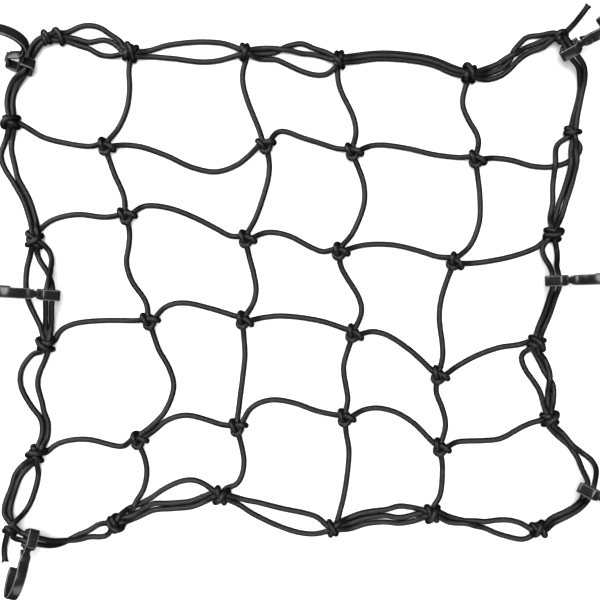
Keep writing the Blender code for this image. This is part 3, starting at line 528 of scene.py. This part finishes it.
def settle(cords, rounds):
    """Moves cords that lie too close apart, one beside or over the other, and keeps them off the floor."""
    middles = [Vector(m).xy for m in MIDDLES.values()]
    points, owner, inside, loose = [], [], [], []
    for i, cord in enumerate(cords):
        for j, point in enumerate(cord):
            points.append(point)
            owner.append(i)
            inside.append(0 < j < len(cord) - 1)
            loose.append(j > 0 and all((point.xy - m).length >= KNOT_REACH for m in middles))
    shift = [Vector((0.0, 0.0, 0.0)) for _ in points]
    for _ in range(rounds):
        now = [point + move for point, move in zip(points, shift)]
        tree = kdtree.KDTree(len(now))
        for n, point in enumerate(now):
            tree.insert(point, n)
        tree.balance()
        for n, point in enumerate(now):
            pushes = [
                (point - other).normalized() * (CORD_GAP - distance) * (0.5 if loose[m] else 1.0) * 0.6
                for other, m, distance in tree.find_range(point, CORD_GAP)
                if loose[n] and owner[m] != owner[n]
            ]
            if pushes:
                shift[n] = shift[n] + max(pushes, key=lambda push: push.length)
        smooth = []
        for n, value in enumerate(shift):
            if inside[n]:
                value = value * 0.6 + (shift[n - 1] + shift[n + 1]) * 0.2
            if not loose[n]:
                value = value * 0.3
            low = LYING - (points[n].z + value.z)
            smooth.append(value + Vector((0.0, 0.0, max(low, 0.0))))
        shift = smooth
    moves = iter(shift)
    return [[point + next(moves) for point in cord] for cord in cords]


def draw_together(ends, cords, waists):
    """Brings nearly parallel cords of one bundle against each other, away from knots and hooks."""
    lines = [np.array(cord) for cord in cords]
    middles = np.array([middle[:2] for middle in MIDDLES.values()], np.float32)
    shifts = [np.zeros_like(line) for line in lines]
    for i, line in enumerate(lines):
        for j, other in enumerate(lines):
            if i == j or ends[i] != ends[j]:
                continue
            apart = other[None] - line[:, None]
            far = norm(apart, axis=2)
            rows, near = np.arange(len(line)), far.argmin(1)
            gap = far[rows, near]
            share = np.clip((NEARLY - gap) / 0.8, 0.0, 1.0) * np.clip(gap - SIDE_BY_SIDE, 0.0, None)
            shifts[i] += apart[rows, near] * (share * 0.5 / np.maximum(gap, 1e-6))[:, None]
    for line, shift in zip(lines, shifts):
        away, hooked = nearest(line[:, :2], middles), nearest(line, waists)
        shift *= (ramp(away, 8.0, 14.0) * ramp(hooked, 6.0, 12.0))[:, None]
        for _ in range(6):
            shift[1:-1] = shift[1:-1] * 0.5 + (shift[:-2] + shift[2:]) * 0.25
        line += shift
    return [[Vector(p) for p in line] for line in lines]


def lay_cords(places, waists):
    """Every cord of the tables as (first knot, last knot or None, points)."""
    ends, cords = [], []
    for pair, *between in MESH_CORDS + BORDER_CORDS + TAILS:
        start, _, end = pair.partition(" ")
        ends.append((start, end or None))
        cords.append(curve(lay(start, end, between, places)))
    cords = settle(cords, SETTLE)
    for _ in range(2):
        cords = settle(draw_together(ends, cords, waists), SETTLE_AGAIN)
    return [(start.replace("eye", "a1"), end, np.array(cord)) for (start, end), cord in zip(ends, cords)]


# Knots

def arc_of(line):
    """How far along the line each of its points lies."""
    return np.concatenate([[0.0], np.cumsum(norm(np.diff(line, axis=0), axis=1))])


def resample(line, step):
    """Points every step along a line."""
    arc = arc_of(line)
    at = np.linspace(0.0, arc[-1], max(3, round(arc[-1] / step) + 1))
    return np.stack([np.interp(at, arc, line[:, k]) for k in range(3)], 1)


def unit(vector):
    return vector / max(norm(vector), 1e-9)


def signum(value):
    return 1.0 if value > 0 else -1.0


class Leg:
    """One cord where it leaves a knot: its points outwards, and the first point of its own course."""

    def __init__(self, port, neighbour, points, middle):
        self.port, self.neighbour, self.points = port, neighbour, points
        self.away = norm(points[:, :2] - middle[:2], axis=1)
        self.hold = min([*np.nonzero(self.away > LEG)[0][:1], int(len(points) * 0.42)])
        self.side = unit(points[self.hold][:2] - middle[:2])

    def inward(self):
        """The points from outside the hold in to the knot."""
        keep = self.away[self.hold + 1 :: -1] > LEG_IN
        keep[:2] = True
        return self.points[self.hold + 1 :: -1][keep]


def tie(points, legs):
    """Two legs (None for a hidden end), the path between them through the points, and how much of it
    is each leg's."""
    first, last = (leg.inward() if leg else np.zeros((0, 3)) for leg in legs)
    return legs, np.concatenate([first, points, last[::-1]]), [arc_of(way)[-1] for way in (first, last)]


def placer(middle, height, u):
    """Turns places along, across and up a knot, in units of WRAP, into points of the net."""
    base = np.array([middle[0], middle[1], height])
    v, z = np.array([-u[1], u[0], 0.0]), np.array([0.0, 0.0, 1.0])
    return lambda a, b, c: base + (u * a + v * b + z * c) * WRAP


def mesh_knot(name, legs, middle):
    """A sheet bend of the four cords that meet inside the net."""
    row, col = name
    find = {leg.neighbour: leg for leg in legs}
    up, down = find[chr(ord(row) - 1) + col], find[chr(ord(row) + 1) + col]
    left, right = find[row + str(int(col) - 1)], find[row + str(int(col) + 1)]
    best = sum(
        complex(*leg.side) * cmath.rect(1.0, -radians(degrees))
        for leg, degrees in ((up, 32), (right, -32), (down, 186), (left, 147))
    )
    place = placer(middle, ROPE + 1.2 * WRAP, np.append(unit(np.array([best.real, best.imag])), 0.0))
    return [
        tie([place(*point) for point in points], ends)
        for points, ends in ((BIGHT, (up, right)), (ROUND_TURN, (down, left)))
    ]


def border_knot(name, legs, middle):
    """The cords of the border run through together, and one more is wrapped round them."""
    at = BORDER_ORDER.index(name)
    before, after = BORDER_ORDER[at - 1], BORDER_ORDER[(at + 1) % len(BORDER_ORDER)]
    sides = [[leg for leg in legs if leg.neighbour == k] for k in (before, after)]
    inner = [leg for leg in legs if leg.neighbour not in (before, after)]
    mean = [unit(sum(leg.side for leg in side)) for side in sides]
    _, _, axis, long = BORDER_KNOTS[name]
    u = np.array([cos(radians(axis)), sin(radians(axis)), 0.0])
    u *= signum(u[:2] @ (mean[1] - mean[0]))
    v = np.array([-u[1], u[0]])
    leaving = inner[0].side if inner else -(mean[0] + mean[1])
    turning = signum(leaving @ v)
    for side in sides:
        side.sort(key=lambda leg: (leg.points[leg.hold][:2] - middle[:2]) @ v)
    last = -1 if turning > 0 else 0
    uneven, entry = len(sides[0]) != len(sides[1]), signum(len(sides[1]) - len(sides[0]))
    # The cord that makes the wraps enters from one side of the knot, and leaves into the net or the
    # other side.
    extra = sides[entry > 0].pop(last) if uneven or not inner else None
    if not uneven and not inner:
        inner = [sides[1].pop(last)]
    count = len(sides[0])
    wrap, seats = BUNDLE[count + 1]
    place = placer(middle, LIFTED.get(name, 0.0) * 0.7 + ROPE + wrap * WRAP, u)
    ties = [
        tie([place(k * 0.5, *seat) for k in range(-3, 4)], pair)
        for *pair, seat in zip(*sides, sorted(seats[:count], key=lambda seat: seat[0]))
    ]
    b, c = seats[count]
    ways = (1.9, 1.2, 0.5, 0.0, -0.5, -1.1) if extra else (1.2, 0.5, 0.0, -0.5, -1.1)
    path = [place(entry * k, b * turning, c) for k in ways]
    spread = (long - 4.0) / WRAP / 2

    def wind(far, turn, wide):
        path.append(place(far, cos(turn) * wide, sin(turn) * wide))

    if name in CROSSED:
        spread = max(spread, 0.75)
        for k in range(31):
            share = k / 30
            run, wide = (float(np.interp(share, *table)) for table in (CROSS_RUN, CROSS_WIDE))
            wind(-entry * spread * run, pi / 2 + turning * 5 * pi * share, wrap * wide)
    else:
        for k in range(19):
            share = k / 18
            far = -entry * (0.2 + spread * (1 - 2 * share))
            wind(far, pi / 2 + turning * 3 * pi * share, wrap * 1.08)
    if name == "a1":  # one more turn and a run along, in place of the eye
        for k in range(1, 16):
            far = entry * (spread + (2.9 - spread) * min(k / 4, 1.0))
            wind(far, pi / 2 + turning * 3 * pi + turning * 2 * pi * k / 15, wrap * 0.98)
    ties.append(tie(path, (extra, inner[0] if inner else None)))
    return ties


def pull_tight(ties, middle):
    """Draws every path of one knot together until its cords press on each other."""
    paths = [resample(points, SPACING) for _, points, _ in ties]
    spots = np.concatenate(paths)
    ends = np.cumsum([0, *map(len, paths)])
    owner = np.repeat(np.arange(len(paths)), np.diff(ends))
    index = np.arange(len(spots))
    free = np.ones(len(spots), bool)
    bend = np.zeros_like(spots)  # how far each point lies off the middle of its neighbours
    for (legs, _, leads), a, b in zip(ties, ends, ends[1:]):
        first, last = a + int(leads[0] / SPACING) - 1, b - int(leads[1] / SPACING)
        for part in (np.arange(a + 1, first), np.arange(last + 1, b - 1)):
            bend[part] = (spots[part - 1] + spots[part + 1]) * 0.5 - spots[part]
        free[a : a + (2 if legs[0] else 1)] = False
        free[b - (2 if legs[1] else 1) : b] = False
    moving = np.nonzero(free)[0]
    away = norm(spots[:, :2] - middle[:2], axis=1)
    anchor = np.clip(1.0 - away / (LEG * 0.8), 0.0, 1.0) * free
    beside = (owner[:, None] == owner) & (np.abs(index[:, None] - index) < SKIP)
    for n in range(ROUNDS):
        last = n > ROUNDS - LAST_ROUNDS
        if n % 8 == 0:
            apart = spots[:, None] - spots
            near = (apart * apart).sum(2) < (TOUCH + 2.0) ** 2
            one, other = np.nonzero(np.triu(near & ~beside, 1))
        halfway = (spots[moving - 1] + spots[moving + 1]) * 0.5
        spots[moving] += (halfway - bend[moving] - spots[moving]) * (LAST_PULL if last else PULL)
        shift = middle[:2] - (spots[:, :2] * anchor[:, None]).sum(0) / max(anchor.sum(), 1e-9)
        spots[:, :2] += anchor[:, None] * shift * 0.15
        for _ in range(4 if last else 2):
            gap = spots[one] - spots[other]
            far = np.maximum(np.sqrt((gap * gap).sum(1)), 1e-6)
            deep = np.maximum(TOUCH - far, 0.0)
            move = gap / far[:, None] * (deep * deep)[:, None] * 0.5
            total = np.zeros_like(spots)
            weight = np.zeros(len(spots))
            for side, sign in ((one, 1.0), (other, -1.0)):
                weight += np.bincount(side, deep, len(spots))
                for k in range(3):
                    total[:, k] += np.bincount(side, move[:, k] * sign, len(spots))
            spots += total / np.maximum(weight, 1e-6)[:, None] * free[:, None]
            spots[:, 2] = np.maximum(spots[:, 2], ROPE)
    return [spots[a:b] for a, b in zip(ends, ends[1:])]


def tie_knots(strands):
    """All knots of the net: for each port of a strand, the path that carries on from it and where to."""
    carried = {}
    for name in sorted(MIDDLES.keys() - EYE_KNOT.keys()):
        middle = MIDDLES[name]
        legs = [
            Leg((number, side), ends[1 - side], cord[:: 1 - 2 * side], middle)
            for number, (*ends, cord) in enumerate(strands) for side in (0, 1) if ends[side] == name
        ]
        ties = (border_knot if name in BORDER_KNOTS else mesh_knot)(name, legs, middle)
        for ((first, second), _, _), path in zip(ties, pull_tight(ties, middle)):
            for leg, other, way in ((first, second, path), (second, first, path[::-1])):
                if leg:
                    carried[leg.port] = (way, other.port if other else None, leg.hold)
    return carried


def long_cords(strands, carried):
    """Strands and knots joined: (points, whether it closes on itself, whether each end is cut)."""
    done, cords = set(), []
    tails = [(n, 1) for n, strand in enumerate(strands) if strand[1] is None]
    hidden = [port for port, (_, onward, _) in carried.items() if onward is None]

    def held(port):
        return carried[port][2] + 2 if port in carried else 0

    for start in [*tails, *hidden, *((n, 0) for n in range(len(strands)))]:
        if start[0] in done:
            continue
        pieces = [carried[start][0][::-1]] if start in hidden else []
        port, cut = start, [start in tails, False]
        while True:
            number, side = port
            done.add(number)
            cord = strands[number][2]
            part = cord[held((number, 0)) : len(cord) - held((number, 1))]
            pieces.append(part[::-1] if side else part)
            far = (number, 1 - side)
            if far not in carried:
                port, cut[1] = None, True
                break
            path, port, _ = carried[far]
            pieces.append(path)
            if port in (None, start):
                break
        cords.append((np.concatenate(pieces), port == start, cut))
    return cords


def smooth_cord(line, closed, waists):
    """The cord evenly spaced, and rounded off where its course meets a knot or leaves a hook."""
    if closed:
        line = np.concatenate([line, line[:1]])
    line = resample(line, TUBE_STEP)
    middles = np.array([middle[:2] for name, middle in MIDDLES.items() if name not in EYE_KNOT])
    away, hooked = nearest(line[:, :2], middles), nearest(line, waists)
    near = ramp(hooked, 3.0, 7.0) * ramp(hooked, 34.0, 26.0)
    share = np.maximum(ramp(away, 6.5, 9.5) * ramp(away, 24.0, 18.0), near)
    amount = np.stack([share, share, np.maximum(share * 0.25, near)], 1)[1:-1] * 0.5
    for n in range(ROUND_OFF):
        ends = line[0] + ((line[1] + line[-2]) * 0.5 - line[0]) * 0.4
        weight = 0.4 if n >= ROUND_OFF - 2 else amount
        line[1:-1] += ((line[:-2] + line[2:]) * 0.5 - line[1:-1]) * weight
        if closed:
            line[0] = line[-1] = ends
    line[:, 2] = np.maximum(line[:, 2], ROPE)
    return line


def frames_along(line, closed):
    """Two directions across the cord at each point, turning no more than the cord does."""
    run = np.gradient(line, axis=0)
    if closed:
        run[0] = run[-1] = line[1] - line[-2]
    run /= norm(run, axis=1)[:, None]
    side = [unit(np.cross(run[0], (0.0, 0.0, 1.0)))]
    for tangent in run[1:]:
        side.append(unit(side[-1] - tangent * float(side[-1] @ tangent)))
    side = np.array(side)
    if closed:
        other = np.cross(run[0], side[0])
        off = atan2(float(side[-1] @ other), float(side[-1] @ side[0]))
        turn = -off * np.linspace(0.0, 1.0, len(side))[:, None]
        side = side * np.cos(turn) + np.cross(run, side) * np.sin(turn)
    return side, np.cross(run, side)


def end_rings(line, ring, cut, rope, chance):
    """Rings that close one end of a cord: a blunt cap, or the flared, ragged mouth of a cut sheath."""
    tip, out = line[0], unit(line[0] - line[2])
    if not cut:
        return [tip + out * 0.3 + ring * rope * 0.03, tip + out * 0.3 + ring * rope * 0.8]
    ragged = chance.uniform(0.0, 0.35, len(ring))[:, None] - SLANT * np.maximum(ring[:, 2:], 0.0)
    wide = chance.uniform(-0.07, 0.1, len(ring))[:, None]
    rings = [tip - out * 3.0 + ring * rope * 0.03, tip - out * 3.0 + ring * rope * 0.85]
    return rings + [tip + out * ragged + ring * rope * (FLARE - less + wide) for less in (0.2, 0.05)]


def tube_mesh(name, cords, mat, rope, sides):
    """One mesh of several cords, with a map that runs round each cord and along it."""
    verts, faces, marks = [], [], []
    turn = (2 * pi * np.arange(sides) / sides)[:, None]
    chance = np.random.default_rng(7)
    start = 0
    for line, closed, cuts in cords:
        side, over = frames_along(line, closed)
        arc = arc_of(line)
        ring = side[:, None] * np.cos(turn) + over[:, None] * np.sin(turn)
        swell = np.ones(len(line))
        slant = np.zeros_like(ring)
        for cut, away, tips in zip(cuts, (arc, arc[-1] - arc), ((0, 2), (-1, -3))):
            if cut:
                swell += (FLARE - 1.0) * np.clip(1.0 - away / 3.2, 0.0, 1.0) ** 1.5
                back = SLANT * np.maximum(ring[:, :, 2], 0.0) * np.clip(1.0 - away / 3.6, 0.0, 1.0)[:, None]
                slant -= back[:, :, None] * unit(line[tips[0]] - line[tips[1]])
        rings = line[:, None] + ring * (rope * swell)[:, None, None] + slant
        if not closed:
            head = end_rings(line, ring[0], cuts[0], rope, chance)
            foot = end_rings(line[::-1], ring[-1], cuts[1], rope, chance)[::-1]
            before, after = 0.4 * np.arange(len(head), 0, -1), 0.4 * np.arange(1, len(foot) + 1)
            arc = np.concatenate([arc[0] - before, arc, arc[-1] + after])
            rings = np.concatenate([head, rings, foot])
        rings[:, :, 2] = np.maximum(rings[:, :, 2], 0.02)
        verts.append(rings.reshape(-1, 3))
        quads = ring_faces(len(rings), sides)
        faces.append(quads + start)
        around = (quads[:, :1] % sides + (0, 1, 1, 0)) / sides
        marks.append(np.stack([around, arc[quads // sides] * MAP_UNIT], 2))
        start += len(rings) * sides
    verts = (np.concatenate(verts) - np.array([*CENTRE, 0.0])) * MM
    along = np.concatenate(marks).astype(np.float32).ravel()
    return new_piece(name, verts.tolist(), np.concatenate(faces).tolist(), mat, along=along)


def tail_details(ends):
    """The rubber strands inside each cut end, and the fibres that have come loose round it."""
    chance = np.random.default_rng(11)
    cores, fibres = [], []
    for tip, out in ends:
        side = unit(np.cross(out, (0.0, 0.0, 1.0)))
        over = np.cross(side, out)
        for k in range(CORES):
            turn = 2 * pi * k / (CORES - 1)
            reach = 0.0 if k == CORES - 1 else CORE_RING
            off = (side * cos(turn) + over * sin(turn)) * reach
            ends_at = chance.uniform(-0.9, -0.2) - 0.3 * max(off[2], 0.0)
            line = [tip + off * (1.0 + 0.08 * share) + out * (ends_at - 2.4 * (1.0 - share))
                    for share in (0.0, 0.35, 0.7, 1.0)]
            cores.append((np.array(line), False, (False, False)))
        for _ in range(FIBRES):
            turn = chance.uniform(0.0, 2 * pi)
            away = side * cos(turn) + over * sin(turn)
            reach, lean = chance.uniform(0.3, 1.0), chance.uniform(0.1, 0.8)
            root = -0.3 - SLANT * max(away[2], 0.0)
            line = np.array([
                tip + away * (ROPE * (FLARE - 0.1) + lean * share * share) + out * (reach * share + root)
                for share in (0.0, 0.4, 0.7, 1.0)
            ])
            line[:, 2] = np.maximum(line[:, 2], 0.1)
            fibres.append((line, False, (False, False)))
    return cores, fibres


# Materials

class Nodes:
    """Short calls for a material's nodes."""

    def __init__(self, name):
        self.material = bpy.data.materials.new(name)
        self.material.use_nodes = True
        self.tree = self.material.node_tree
        self.shader = self.tree.nodes["Principled BSDF"]

    def put(self, socket, value):
        if isinstance(value, bpy.types.NodeSocket):
            self.tree.links.new(value, socket)
        else:
            socket.default_value = value

    def node(self, kind, inputs=(), **settings):
        """The outputs of a new node, its inputs given as pairs of name or number and value."""
        node = self.tree.nodes.new("ShaderNode" + kind)
        for key, value in settings.items():
            setattr(node, key, value)
        for key, value in inputs:
            self.put(node.inputs[key], value)
        return node.outputs

    def math(self, kind, *values):
        return self.node("Math", enumerate(values), operation=kind)[0]

    def mix(self, share, *colours):
        low, high = ((*c, 1.0) if isinstance(c, tuple) else c for c in colours)
        inputs = ("Factor", share), ("A", low), ("B", high)
        return self.node("Mix", inputs, data_type="RGBA")["Result"]

    def span(self, value, low, high):
        """A value from 0 to 1 spread over low to high."""
        return self.math("MULTIPLY_ADD", value, high - low, low)

    def noise(self, scale, detail=3.0, rough=0.55):
        place = self.node("TexCoord")["Object"]
        inputs = ("Scale", scale), ("Detail", detail), ("Roughness", rough), ("Vector", place)
        return self.node("TexNoise", inputs)["Fac"]

    def bump(self, height, distance):
        inputs = ("Strength", 1.0), ("Distance", distance), ("Height", height)
        return self.node("Bump", inputs)["Normal"]

    def set(self, **values):
        for key, value in values.items():
            self.put(self.shader.inputs[key.replace("_", " ")], value)
        return self.material


def strand_hill(n, across, along):
    """Height of one strand of the braid: round across it, dipping where the next one covers it."""
    across, along = (n.math("ABSOLUTE", n.span(way, -1.0, 1.0)) for way in (across, along))
    round_off = n.math("MULTIPLY_ADD", n.math("POWER", across, 2.0), -1.0, 1.0)
    dip = n.math("MULTIPLY_ADD", n.math("POWER", along, 4.0), -0.55, 1.0)
    return n.math("MULTIPLY", round_off, dip)


def braided_cord():
    """Matt black textile braid: two sets of strands that cross one over one round the cord."""
    n = Nodes("elastic_cord_braid")
    place = n.node("SeparateXYZ", [(0, n.node("UVMap", uv_map="Along")[0])])
    round_cord = n.math("MULTIPLY", place["X"], BRAID_ROUND)
    along_cord = n.math("MULTIPLY", place["Y"], 1.0 / MAP_UNIT / BRAID_PITCH)
    one, other = (n.math(kind, round_cord, along_cord) for kind in ("ADD", "SUBTRACT"))
    one_in, other_in = (n.math("FRACT", way) for way in (one, other))
    cell = n.math("ADD", n.math("FLOOR", one), n.math("FLOOR", other))
    over = n.math("MULTIPLY", n.math("FRACT", n.math("MULTIPLY", cell, 0.5)), 2.0)
    under = n.math("SUBTRACT", 1.0, over)

    def on_top(first, second):
        return n.math("ADD", n.math("MULTIPLY", second, over), n.math("MULTIPLY", first, under))

    hill = on_top(strand_hill(n, one_in, other_in), strand_hill(n, other_in, one_in))
    yarns = on_top(*(n.math("SINE", n.math("MULTIPLY", way, 6.2832 * YARNS)) for way in (one_in, other_in)))
    lint = n.noise(900.0)
    faded = n.noise(28.0, 4.0)
    # painted highlight and painted shade: the colour is lighter on the crest of each braid strand and darker
    # in the dips between strands
    base = n.mix(hill, (0.001, 0.001, 0.0011), (0.005, 0.005, 0.0052))
    base = n.mix(n.span(faded, 0.0, 0.5), base, (0.007, 0.007, 0.0072))
    base = n.mix(n.math("MULTIPLY", n.math("GREATER_THAN", lint, 0.67), 0.35), base, (0.08, 0.079, 0.077))
    height = n.math("ADD", hill, n.math("MULTIPLY", yarns, 0.1))
    height = n.math("ADD", height, n.math("MULTIPLY", lint, 0.25))
    return n.set(
        Base_Color=base,
        Roughness=n.span(hill, 0.42, 0.34),
        Specular_IOR_Level=0.28,
        Normal=n.bump(height, 0.00012),
    )


def moulded_plastic():
    """Satin black nylon: fine moulded grain, faint flow streaks, and corners painted a little lighter as a
    painted highlight.
    """
    n = Nodes("hook_plastic_satin")
    corner_highlight = n.node("Attribute", attribute_name="corner_highlight")["Fac"]
    patches = n.noise(60.0, 4.0)
    grain = n.noise(2600.0, 2.0)
    # this noise roughens and bumps the surface, and also makes the painted corner highlight patchy
    scuffs_and_sheen = n.noise(420.0, 5.0, 0.7)
    base = n.mix(patches, (0.006, 0.006, 0.0063), (0.017, 0.017, 0.0175))
    # painted highlight: the marked corners are coloured lighter in patches, in place of light caught along
    # the edges
    painted_edge_sheen = n.math("MULTIPLY", corner_highlight, n.span(scuffs_and_sheen, 0.1, 0.75))
    uneven = n.math("MULTIPLY", n.math("SUBTRACT", scuffs_and_sheen, 0.5), 0.2)
    height = n.math("ADD", n.math("MULTIPLY", grain, 0.35), n.math("MULTIPLY", scuffs_and_sheen, 0.5))
    return n.set(
        Base_Color=n.mix(painted_edge_sheen, base, (0.27, 0.27, 0.28)),
        Roughness=n.math("ADD", n.span(patches, 0.18, 0.32), uneven),
        Specular_IOR_Level=0.22,
        Coat_Weight=0.12,
        Coat_Roughness=0.14,
        Normal=n.bump(height, 0.00007),
    )


def rubber_core():
    """Pale latex strands inside the cord, with a little dirt."""
    n = Nodes("rubber_core")
    dirt = n.noise(700.0, 4.0)
    base = n.mix(n.span(dirt, 0.0, 0.8), (0.42, 0.41, 0.38), (0.12, 0.115, 0.105))
    return n.set(Base_Color=base, Roughness=n.span(dirt, 0.45, 0.7), Normal=n.bump(dirt, 0.00008))


# Light, floor and camera

def studio():
    scene = bpy.context.scene
    scene.view_settings.view_transform = "Standard"
    scene.world = world = bpy.data.worlds.new("studio")
    world.use_nodes = True
    back = world.node_tree.nodes["Background"]
    back.inputs["Color"].default_value = (1.0, 1.0, 1.0, 1.0)
    back.inputs["Strength"].default_value = SKY
    world.cycles_visibility.glossy = False
    paper = Nodes("floor_white").set(
        Base_Color=(0.92, 0.92, 0.92, 1.0), Roughness=0.9, Specular_IOR_Level=0.1
    )
    mesh = bpy.data.meshes.new("floor")
    corners = [(x * FLOOR, y * FLOOR, 0) for x, y in ((-1, -1), (1, -1), (1, 1), (-1, 1))]
    mesh.from_pydata(corners, [], [(0, 1, 2, 3)])
    mesh.materials.append(paper)
    floor = add_object("floor", mesh)
    floor.visible_diffuse = floor.visible_glossy = False
    for name, kind, strength, spread, place in LAMPS:
        lamp = bpy.data.lights.new(name, kind)
        lamp.energy = strength
        setattr(lamp, "angle" if kind == "SUN" else "size", spread)
        light = add_object(name, lamp)
        light.location = place
        light.visible_diffuse = kind == "SUN"
        light.rotation_euler = Vector(place).to_track_quat("Z", "Y").to_euler()
    view = bpy.data.cameras.new("camera")
    view.lens = LENS
    scene.camera = camera = add_object("camera", view)
    camera.location = (-CENTRE[0] * MM, -CENTRE[1] * MM, CAMERA_HEIGHT)


def build():
    cord_black, hook_black = braided_cord(), moulded_plastic()
    bands = hook_rows()
    places = {name: hook_place(name, bands) for name in HOOKS}
    waists = np.array([to_world(place, (*LOOP_MIDDLE, 0.0)) for place in places.values()])
    strands = lay_cords(places, waists)
    cords = [
        (smooth_cord(line, closed, waists), closed, cut)
        for line, closed, cut in long_cords(strands, tie_knots(strands))
    ]
    cords.sort(key=lambda item: -len(item[0]))
    groups = [[], [], []]  # of about the same size
    for item in cords:
        min(groups, key=lambda group: sum(len(line) for line, _, _ in group)).append(item)
    ends = [
        (way[0], unit(way[0] - way[2]))
        for line, _, cut in cords for way, is_cut in zip((line, line[::-1]), cut) if is_cut
    ]
    cores, fibres = tail_details(ends)
    for tube in (
        *(("net_cords_%d" % (i + 1), groups[i], cord_black, ROPE, TUBE_SIDES) for i in range(3)),
        ("net_tail_cores", cores, rubber_core(), CORE_THICK, CORE_SIDES),
        ("net_tail_fibres", fibres, cord_black, FIBRE_THICK, FIBRE_SIDES),
    ):
        piece = tube_mesh(*tube)
        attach(piece, "root")
        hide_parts("net")
    for name in HOOKS:
        piece = hook_mesh(name + "_moulding", places[name], bands, hook_black)
        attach(piece, "root")
        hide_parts(name)
    studio()


build()
